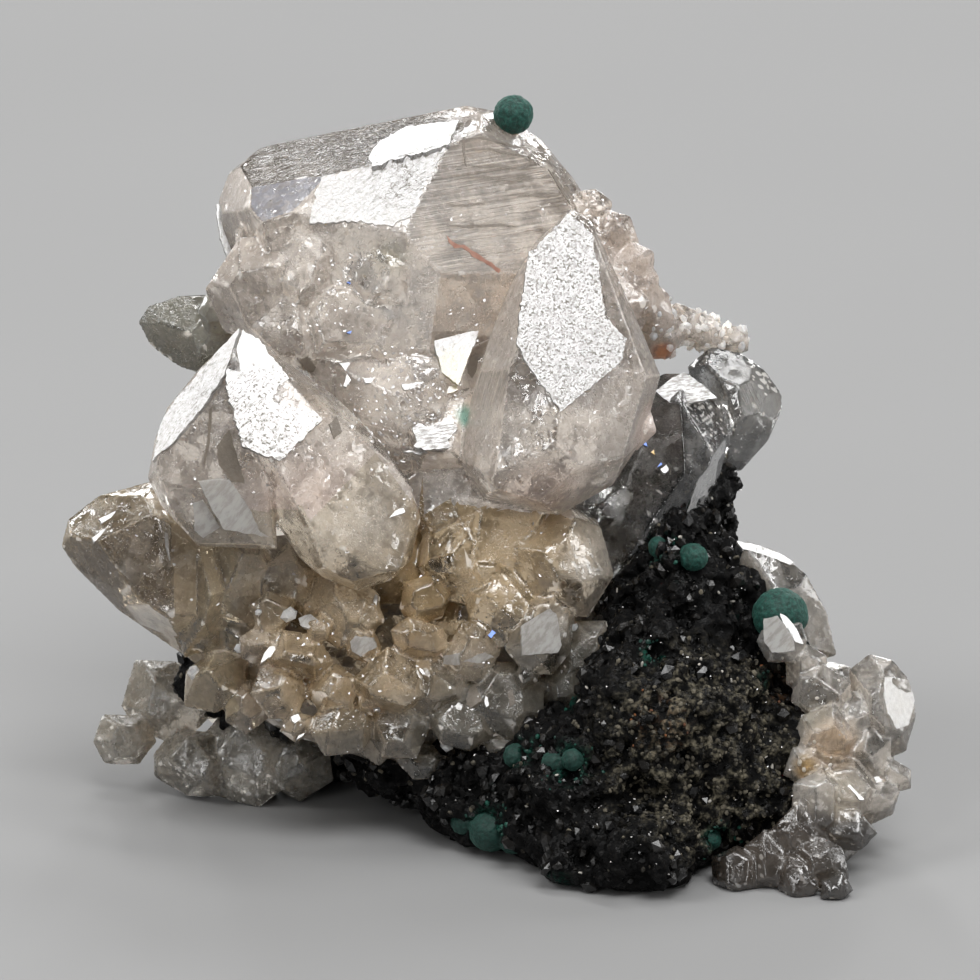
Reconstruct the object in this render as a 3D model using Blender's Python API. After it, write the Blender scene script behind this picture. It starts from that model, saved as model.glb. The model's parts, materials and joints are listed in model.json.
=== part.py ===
"""Cerussite specimen: colourless to smoky lead carbonate crystals on dark gossan, with malachite balls.

The specimen is described as it is seen from the front, looking down at it by LOOK_DOWN:
x runs to the right, h up the view and d away from the viewer, all in millimetres.
One empty then stands this view frame up, so that the specimen rests on Z = 0 with +Z up.
"""

import math
import random

import bmesh
import bpy
from mathutils import Matrix, Vector, noise

# Driving dimensions
MM = 0.001
LOOK_DOWN = math.radians(20)  # how far the viewer looks down at the specimen
ROOT_GAP = 0.04  # mm between a crystal or a ball and the socket that it sits in
BLOCK = 60.0  # mm, the side of the block that every crystal is cut from
ROCK_GRAIN = 0.62  # mm, the mesh size that the rock's lumps are fused at
ROCK_FACES = 960  # triangles left in the rock before the sockets are cut
FLOOR_LEVEL = 0.0  # mm above the view frame's origin, where the feet are broken off flat
CHIP = 0.05  # mm3, a chip smaller than this that a cut leaves loose is dropped

# Colours, roughness and metallic value of what the specimen is made of
FINISHES = {
    "cerussite": ((0.80, 0.74, 0.68), 0.12, 0.0),
    "clear_cerussite": ((0.72, 0.73, 0.72), 0.08, 0.0),
    "smoky_cerussite": ((0.55, 0.52, 0.46), 0.16, 0.0),
    "frosted_cerussite": ((0.82, 0.75, 0.70), 0.55, 0.0),
    "gossan": ((0.055, 0.048, 0.042), 0.75, 0.1),
    "malachite": ((0.02, 0.17, 0.12), 0.5, 0.0),
}


def heading(turn, lift):
    """A direction in the view frame that faces the viewer, turned to the right and lifted, in degrees."""
    turn, lift = math.radians(turn), math.radians(lift)
    return Vector(
        (
            math.sin(turn) * math.cos(lift),
            -math.cos(turn) * math.cos(lift),
            math.sin(lift),
        )
    )


def spot(x, h, d):
    """A place in the view frame, as Blender's x, y and z."""
    return Vector((x, d, h))


def cleave(body, point, normal):
    """Splits off what lies beyond a plane and closes the cut with one flat face."""
    everything = body.verts[:] + body.edges[:] + body.faces[:]
    bmesh.ops.bisect_plane(
        body, geom=everything, dist=1e-4, plane_co=point, plane_no=normal, clear_outer=True
    )
    rim = [edge for edge in body.edges if edge.is_boundary]
    if rim:
        bmesh.ops.edgeloop_fill(body, edges=rim)


def edge_slope(slope, number):
    """The slope of the face along one rim edge. It wanders a little from edge to edge, as growth does."""
    return math.radians(slope + 9.0 * math.sin(2.4 * number + 0.35 * slope))


def crystal_faces(shape):
    """Every face of a crystal as a point and a normal: its faces towards and away from the viewer
    along each edge of its rim, its front and back, and the faces that are named one by one."""
    rim = shape["rim"]
    across, up = shape.get("lean", (0.0, 0.0))
    middle_x = sum(x for x, h in rim) / len(rim)
    middle_h = sum(h for x, h in rim) / len(rim)
    towards = Vector((across, -1.0, up)).normalized()
    corners = [
        spot(x, h, shape["depth"] + across * (x - middle_x) + up * (h - middle_h))
        for x, h in rim
    ]
    middle = spot(middle_x, middle_h, shape["depth"])
    faces = [
        (middle + towards * shape["front"], towards),
        (middle - towards * shape["back"], -towards),
    ]
    for number, corner in enumerate(corners):
        along = (corners[(number + 1) % len(corners)] - corner).normalized()
        outwards = along.cross(towards)
        if outwards.dot(corner - middle) < 0:
            outwards.negate()
        crown = edge_slope(shape["crown"], number)
        root = edge_slope(shape["root"], number + 3)
        faces.append((corner, outwards * math.sin(crown) + towards * math.cos(crown)))
        faces.append((corner, outwards * math.sin(root) - towards * math.cos(root)))
    for (x, h, d), turn, lift in shape.get("faces", ()):
        faces.append((spot(x, h, d), heading(turn, lift)))
    return middle, faces


def grow_crystal(shape, margin=0.0):
    """A convex crystal cut from a block, each face moved out by margin, as a mesh in metres."""
    middle, faces = crystal_faces(shape)
    body = bmesh.new()
    bmesh.ops.create_cube(body, size=BLOCK, matrix=Matrix.Translation(middle))
    for point, normal in faces:
        cleave(body, point + normal * margin, normal)
    bmesh.ops.remove_doubles(body, verts=body.verts, dist=0.004)
    bmesh.ops.recalc_face_normals(body, faces=body.faces)
    bmesh.ops.scale(body, vec=Vector((MM, MM, MM)), verts=body.verts)
    mesh = bpy.data.meshes.new("crystal")
    body.to_mesh(mesh)
    body.free()
    return mesh


def bud(x, h, d, size, seed, depth=1.0):
    """A small crystal: an uneven rim round its middle, size mm in radius. Larger ones have more sides."""
    chance = random.Random(seed)
    sides = 5 if size < 0.7 else 6 if size < 1.2 else 7
    turn, flatness = chance.uniform(0, math.tau), chance.uniform(0.78, 1.0)
    rim = []
    for side in range(sides):
        angle = math.tau * (side + chance.uniform(-0.2, 0.2)) / sides
        reach = size * chance.uniform(0.95, 1.15)
        across, along = reach * math.cos(angle), reach * flatness * math.sin(angle)
        rim.append(
            (
                x + across * math.cos(turn) - along * math.sin(turn),
                h + across * math.sin(turn) + along * math.cos(turn),
            )
        )
    return {
        "rim": rim,
        "depth": d,
        "lean": (chance.uniform(-0.35, 0.35), chance.uniform(-0.3, 0.3)),
        "crown": chance.uniform(42, 60),
        "root": 62,
        "front": size * chance.uniform(0.4, 0.72),
        "back": size * depth,
    }


# The large crystals of the main group, front first: what they are, and where each bright face lies.
TOP_BLOCK = {
    "rim": [
        (-8.0, 20.6), (-7.8, 19.0), (-7.1, 16.6), (-5.6, 14.7), (-2.6, 13.8), (0.3, 15.0), (2.8, 17.6),
        (3.0, 20.4), (2.5, 21.2), (1.5, 22.4), (0.3, 23.2), (-0.7, 23.4), (-4.7, 22.6), (-6.7, 22.2),
        (-7.7, 21.4),
    ],
    "depth": 6.8, "crown": 76, "root": 58, "front": 5.0, "back": 3.4,
    "faces": [
        ((-2.2, 20.2, 3.2), 2, 24),
        ((-2.2, 20.2, 3.2), 23, 13),
        ((-5.0, 21.0, 3.46), -25, 40),
        ((-3.0, 22.05, 4.0), -35, 61),
        ((-3.8, 19.8, 2.97), -5, -12),
        ((-0.6, 18.4, 3.43), 23, -15),
    ],
}
FROST_UPPER = {
    "rim": [(2.5, 20.6), (3.2, 20.3), (3.9, 19.6), (4.5, 18.9), (4.7, 18.1), (4.1, 17.4), (2.9, 17.1), (2.1, 18.5)],
    "depth": 5.6, "crown": 42, "root": 55, "front": 1.3, "back": 1.8,
}
FROST_LOWER = {
    "rim": [(3.2, 18.8), (4.4, 19.0), (5.0, 18.4), (5.0, 17.7), (4.7, 17.1), (4.4, 16.6), (3.5, 16.6), (2.9, 17.6)],
    "depth": 5.4, "crown": 42, "root": 55, "front": 1.4, "back": 2.2,
}
RIGHT_BLOCK = {
    "rim": [
        (2.4, 20.3), (1.3, 19.3), (0.6, 18.1), (0.0, 16.6), (-0.6, 14.6), (-0.9, 12.9), (-0.2, 11.8),
        (2.0, 11.3), (3.6, 12.2), (4.5, 13.6), (5.0, 15.4), (4.2, 17.3), (3.0, 19.9),
    ],
    "depth": 3.2, "crown": 74, "root": 60, "front": 3.4, "back": 3.4,
    "faces": [
        ((2.1, 14.4, 0.6), 14, 18),
        ((1.0, 17.6, 1.4), -29, 21.5),
        ((0.3, 17.1, 1.56), -55, 5),
        ((0.8, 16.3, 0.91), -14, 0),
        ((2.1, 14.4, 0.6), 32, -6),
        ((3.4, 17.1, 1.83), 37, 18.5),
        ((1.5, 13.1, 0.75), 5, -38),
    ],
}
LEFT_BLADE = {
    "rim": [
        (-7.3, 16.7), (-8.5, 15.6), (-9.4, 14.5), (-9.8, 13.5), (-10.0, 12.4), (-9.6, 11.6), (-8.5, 10.4),
        (-6.2, 10.3), (-6.3, 12.5), (-6.7, 15.0),
    ],
    "depth": 2.1, "crown": 78, "root": 60, "front": 2.0, "back": 2.8,
    "faces": [
        ((-8.4, 14.7, 1.1), -28, 22),
        ((-8.4, 14.7, 1.1), 2, 2),
        ((-8.5, 12.1, 1.01), -5, -26),
        ((-7.3, 11.9, 1.2), 16, -12),
    ],
}
RIGHT_BLADE = {
    "rim": [
        (-7.3, 16.7), (-7.6, 15.6), (-7.6, 14.7), (-7.2, 13.2), (-6.7, 11.8), (-5.6, 10.1), (-4.9, 9.5),
        (-3.9, 9.1), (-2.9, 9.4), (-2.3, 10.0), (-2.0, 11.2), (-2.3, 12.2), (-3.1, 13.4), (-4.3, 14.6),
        (-5.5, 15.6), (-6.7, 16.3),
    ],
    "depth": 2.5, "crown": 76, "root": 60, "front": 3.0, "back": 3.4,
    "faces": [
        ((-6.2, 12.9, 0.4), 8, 20),
        ((-5.0, 14.3, 1.09), 27, 32),
        ((-6.2, 12.9, 0.4), 26, 5),
        ((-6.2, 12.9, 0.4), -5, -4.5),
        ((-4.7, 10.6, 0.91), 5, -30),
    ],
}
CENTRE_BLOCK = {
    "rim": [
        (-5.6, 16.2), (-5.0, 14.4), (-3.5, 12.6), (-2.1, 11.8), (-0.6, 12.6), (0.1, 14.7), (-0.2, 16.5),
        (-1.8, 16.9), (-4.1, 16.8),
    ],
    "depth": 4.6, "crown": 48, "root": 60, "front": 1.9, "back": 3.0,
}
WEDGE = {
    "rim": [
        (-12.6, 10.4), (-12.2, 9.8), (-10.9, 8.5), (-9.0, 7.2), (-7.6, 7.6), (-7.4, 10.0), (-7.9, 11.8),
        (-9.7, 12.4), (-11.5, 11.9), (-12.4, 11.2),
    ],
    "depth": 5.2, "crown": 66, "root": 52, "front": 3.0, "back": 2.6,
    "faces": [
        ((-10.6, 10.0, 3.4), -14, -8),
        ((-11.2, 11.4, 3.3), -12, 52),
        ((-9.4, 10.0, 3.0), 24, -6),
    ],
}
STEP = {
    "rim": [(-2.6, 14.8), (-0.4, 15.0), (-0.3, 13.2), (-0.8, 12.4), (-2.2, 12.5), (-2.7, 13.4)],
    "depth": 3.9, "crown": 62, "root": 60, "front": 1.3, "back": 2.0,
    "faces": [((-1.6, 13.6, 2.9), 4, 22)],
}
COLUMN = {
    "rim": [
        (-9.6, 12.2), (-8.4, 12.2), (-7.6, 10.6), (-7.3, 8.8), (-8.0, 7.4), (-9.0, 7.1), (-9.3, 8.8),
    ],
    "depth": 4.5, "crown": 60, "root": 60, "front": 1.5, "back": 2.0,
}
CRUST_BED_LEFT = {
    "rim": [
        (-9.2, 12.0), (-9.2, 7.4), (-7.1, 5.5), (-5.6, 4.75), (-1.5, 3.5), (-0.8, 6.0), (-1.4, 12.0),
    ],
    "depth": 5.0, "crown": 40, "root": 60, "front": 1.0, "back": 2.4,
}
CRUST_BED_RIGHT = {
    "rim": [
        (-2.3, 12.4), (0.4, 12.2), (3.2, 11.2), (3.4, 8.8), (2.9, 7.3), (2.1, 6.1), (0.3, 3.9),
        (-1.4, 3.3), (-2.2, 5.6), (-2.5, 9.8),
    ],
    "depth": 5.0, "crown": 42, "root": 60, "front": 1.1, "back": 2.4,
}
BACK_LEFT = {
    "rim": [
        (-10.4, 17.0), (-10.0, 16.3), (-9.2, 15.7), (-8.4, 15.4), (-7.0, 15.6), (-6.6, 17.2), (-7.6, 17.9),
        (-9.2, 17.8), (-10.1, 17.5),
    ],
    "depth": 7.4, "crown": 44, "root": 50, "front": 1.2, "back": 1.5,
}
LARGE_CRYSTALS = {
    "top_block": TOP_BLOCK,
    "frost_upper": FROST_UPPER,
    "frost_lower": FROST_LOWER,
    "right_block": RIGHT_BLOCK,
    "left_blade": LEFT_BLADE,
    "right_blade": RIGHT_BLADE,
    "centre_block": CENTRE_BLOCK,
    "step": STEP,
    "column": COLUMN,
    "crust_bed_left": CRUST_BED_LEFT,
    "crust_bed_right": CRUST_BED_RIGHT,
    "wedge": WEDGE,
    "back_left": BACK_LEFT,
}

# The crust of small crystals below the large ones: x, h, d and radius in mm, then the seed.
CRUST = [
    (-1.3, 11.8, 4.0, 1.5, 1), (0.3, 10.7, 3.9, 1.9, 2), (2.0, 9.9, 3.7, 1.8, 3),
    (1.5, 7.8, 2.9, 1.25, 4), (2.8, 7.4, 3.7, 1.0, 5), (2.2, 6.3, 3.8, 0.9, 6),
    (0.4, 8.8, 3.4, 1.4, 7), (-1.0, 10.1, 3.6, 1.4, 8), (-2.05, 7.65, 2.8, 0.85, 9),
    (-3.7, 7.5, 2.9, 0.6, 10), (-2.9, 6.4, 2.9, 1.1, 11), (-4.4, 8.6, 3.2, 1.2, 12),
    (-5.7, 9.2, 3.9, 1.15, 13), (-6.6, 7.55, 3.2, 0.75, 14), (-5.5, 7.2, 3.0, 1.0, 15),
    (-4.3, 5.15, 3.2, 1.05, 18), (-5.65, 5.2, 3.1, 0.55, 17), (-6.1, 6.2, 3.1, 0.95, 16),
    (-2.7, 5.2, 3.3, 1.05, 19), (-1.6, 6.3, 3.0, 0.95, 20), (-0.5, 7.3, 3.1, 0.95, 21),
    (-0.95, 5.3, 3.2, 1.0, 22), (0.45, 5.9, 3.4, 1.25, 23), (0.5, 4.4, 4.0, 0.95, 24),
    (-1.9, 8.9, 3.2, 0.8, 25), (-7.2, 9.3, 4.3, 1.4, 26), (-8.0, 9.8, 4.7, 1.3, 27),
    (-8.0, 6.5, 4.3, 1.15, 28), (-3.2, 9.8, 3.6, 1.3, 29), (-4.6, 6.2, 3.1, 0.85, 30),
    (-2.0, 4.1, 4.3, 0.75, 31), (-0.7, 3.8, 4.4, 0.85, 32), (-7.1, 5.7, 4.1, 0.8, 33),
    (-8.1, 8.1, 4.4, 1.0, 34), (-3.55, 8.35, 2.8, 0.5, 35), (-0.1, 9.75, 3.0, 0.5, 36),
    (1.1, 6.7, 2.8, 0.5, 37), (-5.0, 8.0, 2.7, 0.5, 38), (-3.5, 5.9, 2.7, 0.45, 39),
    (-6.4, 8.4, 3.2, 0.7, 40), (-3.4, 4.6, 3.9, 0.65, 56), (1.9, 8.6, 2.75, 0.45, 57),
]

# The milky lumps on the lower half of the top block
MILKY_LUMPS = [
    (-6.7, 18.0, 4.2, 1.6, 85), (-5.1, 18.2, 3.8, 1.7, 86), (-3.4, 18.5, 3.8, 1.6, 87),
    (-6.0, 16.9, 4.0, 1.4, 88), (-4.0, 17.1, 3.9, 1.5, 89), (-2.7, 16.3, 4.0, 1.2, 90),
    (-6.9, 19.5, 4.7, 0.7, 91),
]

# Frosted lumps along the right edge, and the white crust behind it
FROSTED = [
    (3.7, 19.5, 5.6, 0.75, 71), (4.2, 18.6, 5.5, 0.8, 72), (4.6, 17.6, 5.6, 0.7, 73),
    (3.9, 17.6, 4.9, 0.8, 74), (4.1, 13.9, 3.4, 0.75, 75), (3.0, 20.3, 5.9, 0.7, 76),
    (4.8, 17.3, 5.9, 0.8, 77), (5.8, 16.9, 7.0, 0.75, 78), (5.1, 16.6, 6.5, 0.8, 79),
    (6.35, 16.65, 7.2, 0.62, 80), (7.1, 16.45, 7.5, 0.6, 81), (-7.9, 17.3, 5.6, 0.8, 82),
    (-8.1, 16.6, 6.2, 0.7, 83),
]


def main_group_shapes():
    shapes = dict(LARGE_CRYSTALS)
    for x, h, d, size, seed in CRUST + MILKY_LUMPS + FROSTED:
        shapes[f"crust_{seed:02d}"] = bud(x, h, d, size, seed, depth=1.7)
    return shapes


# The clear pair that stands on the rock's neck, behind the right block
CLEAR_PAIR = {
    "clear_front": {
        "rim": [
            (2.1, 11.3), (2.4, 10.4), (3.0, 9.8), (3.4, 9.4), (4.1, 9.6), (5.1, 10.0), (5.9, 10.6), (6.6, 11.8),
            (7.1, 13.8), (6.8, 14.4), (5.9, 15.5), (5.1, 15.5), (3.8, 14.7), (2.6, 13.2),
        ],
        "depth": 5.4, "crown": 66, "root": 55, "front": 2.4, "back": 2.6,
        "faces": [
            ((5.9, 14.6, 4.0), 10, 35),
            ((5.9, 14.6, 4.0), 20, 3),
            ((5.6, 13.3, 3.9), -28, 0),
            ((5.5, 12.1, 4.0), 4, -22),
        ],
    },
    "clear_back": {
        "rim": [
            (5.8, 15.7), (6.2, 13.8), (6.6, 12.6), (7.4, 12.6), (8.2, 13.5), (8.6, 14.4), (8.6, 14.9),
            (8.1, 15.6), (7.4, 16.1), (6.5, 16.3),
        ],
        "depth": 6.7, "crown": 66, "root": 55, "front": 1.9, "back": 2.3,
        "faces": [
            ((6.8, 15.0, 5.3), -14, 8),
            ((7.7, 14.7, 5.4), 42, 14),
            ((7.4, 15.7, 5.8), 0, 58),
            ((7.8, 13.4, 5.6), 20, -38),
        ],
    },
}

# The group on the right-hand shoulder of the rock
RIGHT_GROUP = {
    "shelf_crystal": {
        "rim": [
            (7.3, 10.0), (7.4, 7.6), (8.8, 6.8), (10.2, 7.2), (9.9, 8.5), (9.3, 9.6), (8.4, 10.3), (7.5, 10.6),
        ],
        "depth": 4.8, "crown": 46, "root": 58, "front": 1.4, "back": 2.0,
    },
    "right_bed": {
        "rim": [
            (8.9, 7.3), (10.6, 6.9), (11.7, 4.8), (12.0, 3.7), (10.8, 1.5), (9.6, 0.4), (7.8, 0.5), (8.0, 4.0),
        ],
        "depth": 4.0, "crown": 44, "root": 60, "front": 1.1, "back": 2.0,
        "lean": (0.1, 0.35),
    },
    "end_crystal": {
        "rim": [
            (10.5, 6.8), (10.6, 5.0), (11.5, 4.1), (12.2, 4.4), (12.5, 5.5), (12.3, 6.5), (11.8, 7.1), (11.1, 7.3),
        ],
        "depth": 3.6, "crown": 56, "root": 58, "front": 1.1, "back": 1.5,
        "faces": [((11.9, 5.7, 2.7), 30, 4)],
    },
}
RIGHT_LUMPS = [
    (8.55, 7.65, 2.9, 0.8, 50), (9.2, 6.8, 3.2, 0.8, 45), (9.7, 6.1, 3.0, 1.0, 41),
    (10.6, 5.3, 3.0, 1.05, 42), (9.8, 4.8, 2.6, 1.0, 43), (11.0, 4.2, 2.8, 0.95, 44),
    (11.8, 3.7, 3.0, 0.6, 46), (10.2, 3.3, 2.2, 1.15, 47), (11.2, 2.9, 2.6, 0.8, 48),
    (9.4, 4.0, 2.2, 0.85, 49), (9.5, 2.9, 1.8, 0.95, 51), (10.4, 2.1, 1.8, 0.9, 52),
    (9.0, 1.9, 1.5, 0.95, 53), (9.7, 1.2, 1.1, 0.9, 54), (8.2, 1.2, 1.5, 0.95, 55),
    (10.1, 0.45, 0.5, 0.55, 58), (7.2, 0.9, 1.5, 0.85, 59), (8.9, 0.7, 0.9, 0.75, 60),
]

# The low group at the back left, which the specimen also stands on
LEFT_GROUP = [
    (-10.8, 4.7, 8.2, 0.95, 61), (-9.6, 5.8, 8.6, 1.45, 62), (-8.7, 4.0, 8.1, 1.25, 63),
    (-7.2, 4.1, 7.8, 1.5, 64), (-5.6, 3.9, 7.5, 1.15, 65), (-8.0, 6.4, 8.9, 1.5, 66),
    (-6.4, 5.4, 8.5, 1.4, 67),
]

# Lumps that the rock is fused from: x, h, d, then how far each reaches across, up and away, in mm
ROCK_LUMPS = [
    (5.3, 4.9, 4.4, 3.4, 3.8, 3.3),
    (2.8, 3.2, 4.0, 2.8, 2.6, 2.8),
    (0.4, 3.0, 5.4, 2.4, 1.8, 2.4),
    (3.8, 1.5, 1.9, 2.5, 1.4, 1.8),
    (5.6, 8.4, 5.6, 2.0, 3.0, 2.3),
    (6.3, 11.3, 7.0, 0.9, 2.4, 1.5),
    (-1.8, 7.6, 7.6, 5.0, 3.4, 3.0),
    (-2.2, 4.6, 6.6, 2.2, 1.3, 2.2),
    (-6.0, 7.4, 8.6, 3.2, 2.8, 2.6),
    (-4.4, 5.4, 9.6, 3.0, 1.9, 2.0),
    (7.6, 3.6, 4.3, 2.1, 2.7, 2.5),
    (9.3, 4.0, 5.2, 1.9, 2.6, 2.0),
    (8.2, 7.6, 5.8, 1.6, 2.6, 2.2),
    (0.6, 8.6, 9.4, 5.0, 4.2, 2.8),
    (4.4, 7.4, 8.4, 3.6, 4.0, 2.8),
    (1.5, 4.8, 9.6, 4.6, 3.0, 3.0),
    (-2.2, 10.6, 8.6, 3.4, 3.0, 2.6),
]

# Planes that the rock broke along at the back: x, h, d, then turn and lift in degrees
ROCK_BREAKS = [
    (0.0, 8.0, 10.9, 176, 14),
    (-6.5, 6.0, 9.6, 214, 0),
    (5.5, 6.0, 10.0, 134, 8),
    (0.0, 11.6, 9.6, 180, 62),
    (0.0, 3.4, 11.4, 180, -18),
]

# Malachite balls, each a list of the balls that grew together: x, h, d and radius in mm
MALACHITE = {
    "malachite_ball_crown": [(0.7, 23.1, 6.0, 0.58)],
    "malachite_ball_neck": [(5.95, 10.1, 3.6, 0.42)],
    "malachite_ball_neck_small": [(4.9, 10.4, 3.95, 0.28)],
    "malachite_ball_shelf": [(8.5, 8.4, 3.6, 0.8)],
    "malachite_foot_nodules": [(0.0, 2.1, 3.4, 0.62), (-0.7, 2.4, 3.8, 0.45), (0.7, 1.9, 3.2, 0.5)],
    "malachite_edge_nodules": [(1.85, 4.1, 1.6, 0.36), (2.4, 4.2, 1.3, 0.32)],
    "malachite_crust_nodule": [(0.75, 4.3, 2.7, 0.36)],
    "malachite_base_nodule": [(6.4, 1.9, 2.15, 0.36)],
}


def finish(name):
    """A plain material of that name, made once."""
    material = bpy.data.materials.get(name)
    if material is None:
        colour, roughness, metallic = FINISHES[name]
        material = bpy.data.materials.new(name)
        material.use_nodes = True
        surface = material.node_tree.nodes["Principled BSDF"]
        surface.inputs["Base Color"].default_value = (*colour, 1.0)
        surface.inputs["Roughness"].default_value = roughness
        surface.inputs["Metallic"].default_value = metallic
        material.diffuse_color = (*colour, 1.0)
    return material


def place(name, mesh, stand, material=None, collection=None):
    """Links a mesh as an object under the stand. With a collection, it is only a cutter or a guide."""
    thing = bpy.data.objects.new(name, mesh)
    thing.parent = stand
    if collection is None:
        bpy.context.scene.collection.objects.link(thing)
        mesh.materials.clear()
        mesh.materials.append(finish(material))
    else:
        collection.objects.link(thing)
        thing.hide_render = True
        thing.display_type = "WIRE"
    return thing


def guides(name):
    """A collection for cutters, so that one Boolean can use them all."""
    collection = bpy.data.collections.new(name)
    bpy.context.scene.collection.children.link(collection)
    return collection


def combine(thing, collection, operation):
    """Adds a Boolean with every object of a collection."""
    modifier = thing.modifiers.new(collection.name, "BOOLEAN")
    modifier.operation = operation
    modifier.operand_type = "COLLECTION"
    modifier.collection = collection
    modifier.solver = "MANIFOLD"
    return modifier


def group_of_crystals(name, shapes, stand, material):
    """Crystals that grew together, joined in one solid, and their sockets in whatever they grew on."""
    names = list(shapes)
    solid = place(name, grow_crystal(shapes[names[0]]), stand, material)
    others, sockets = guides(name + "_crystals"), guides(name + "_sockets")
    for crystal in names[1:]:
        place(crystal, grow_crystal(shapes[crystal]), stand, collection=others)
    for crystal in names:
        place(crystal + "_socket", grow_crystal(shapes[crystal], ROOT_GAP), stand, collection=sockets)
    combine(solid, others, "UNION")
    return solid, sockets


def ball_mesh(x, h, d, radius):
    """A malachite ball."""
    body = bmesh.new()
    bmesh.ops.create_icosphere(body, subdivisions=2, radius=radius)
    bmesh.ops.translate(body, verts=body.verts, vec=spot(x, h, d))
    bmesh.ops.scale(body, vec=Vector((MM, MM, MM)), verts=body.verts)
    mesh = bpy.data.meshes.new("ball")
    body.to_mesh(mesh)
    body.free()
    return mesh


def rock_mesh():
    """The lumps of the rock, as overlapping balls with an uneven skin."""
    body = bmesh.new()
    for x, h, d, across, up, away in ROCK_LUMPS:
        size = Matrix.Diagonal((across, away, up, 1.0))
        made = bmesh.ops.create_icosphere(
            body, subdivisions=4, radius=1.0, matrix=Matrix.Translation(spot(x, h, d)) @ size
        )
        for vertex in made["verts"]:
            away_from_middle = (vertex.co - spot(x, h, d)).normalized()
            swell = noise.fractal(vertex.co * 0.45, 1.0, 2.0, 3)
            vertex.co += away_from_middle * 0.5 * swell
            for along, up, back, turn, lift in ROCK_BREAKS:
                plane = heading(turn, lift)
                beyond = (vertex.co - spot(along, up, back)).dot(plane)
                vertex.co -= plane * max(0.0, beyond) * 0.9
    bmesh.ops.scale(body, vec=Vector((MM, MM, MM)), verts=body.verts)
    mesh = bpy.data.meshes.new("rock")
    body.to_mesh(mesh)
    body.free()
    return mesh


def fuse(rock):
    """Fuses the lumps into one skin and thins it to a fixed number of faces."""
    remesh = rock.modifiers.new("fuse", "REMESH")
    remesh.mode = "VOXEL"
    remesh.voxel_size = ROCK_GRAIN * MM
    depsgraph = bpy.context.evaluated_depsgraph_get()
    fused_faces = 2 * len(rock.evaluated_get(depsgraph).data.polygons)
    decimate = rock.modifiers.new("thin", "DECIMATE")
    decimate.ratio = min(1.0, ROCK_FACES / fused_faces)


def floor_block(stand, lowest):
    """A block whose top is the floor, to cut the feet flat with. It is level while the view leans."""
    body = bmesh.new()
    bmesh.ops.create_cube(body, size=BLOCK * MM)
    mesh = bpy.data.meshes.new("floor_block")
    body.to_mesh(mesh)
    body.free()
    block = place("floor_block", mesh, stand, collection=guides("floor"))
    block.rotation_euler.x = LOOK_DOWN
    level = lowest - BLOCK * MM / 2
    block.location = Vector((0.0, -math.sin(LOOK_DOWN) * level, math.cos(LOOK_DOWN) * level))
    return block


def solids():
    """The shown meshes, each with its corners in the world as Blender evaluates it."""
    bpy.context.view_layer.update()
    depsgraph = bpy.context.evaluated_depsgraph_get()
    for thing in bpy.context.scene.objects:
        if thing.type == "MESH" and not thing.hide_render:
            made = thing.evaluated_get(depsgraph)
            yield thing, [made.matrix_world @ vertex.co for vertex in made.data.vertices]


def bodies(mesh):
    """The separate bodies of a mesh, each as a list of its vertices."""
    waiting = set(mesh.verts)
    while waiting:
        seeds = [waiting.pop()]
        found = []
        while seeds:
            vertex = seeds.pop()
            found.append(vertex)
            for edge in vertex.link_edges:
                other = edge.other_vert(vertex)
                if other in waiting:
                    waiting.remove(other)
                    seeds.append(other)
        yield found


def body_volume(vertices):
    """The volume in mm3 that the faces of these vertices close."""
    volume = 0.0
    for face in {face for vertex in vertices for face in vertex.link_faces}:
        first, *others = [vertex.co / MM for vertex in face.verts]
        for second, third in zip(others, others[1:]):
            volume += first.dot(second.cross(third)) / 6.0
    return volume


def keep_as_cut(thing):
    """Makes the cut shape the object's own mesh, without the chips that the cuts left loose."""
    depsgraph = bpy.context.evaluated_depsgraph_get()
    shape = bpy.data.meshes.new_from_object(thing.evaluated_get(depsgraph))
    body = bmesh.new()
    body.from_mesh(shape)
    for found in list(bodies(body)):
        if body_volume(found) < CHIP:
            bmesh.ops.delete(body, geom=found, context="VERTS")
    body.to_mesh(shape)
    body.free()
    thing.modifiers.clear()
    thing.data = shape


def centre_on_floor(stand):
    """Moves the stand so that the origin is the middle of the specimen's outline on the floor."""
    corners = [corner for thing, found in solids() for corner in found]
    low = Vector(map(min, *corners))
    high = Vector(map(max, *corners))
    stand.location -= Vector(((low.x + high.x) / 2, (low.y + high.y) / 2, low.z))


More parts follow.
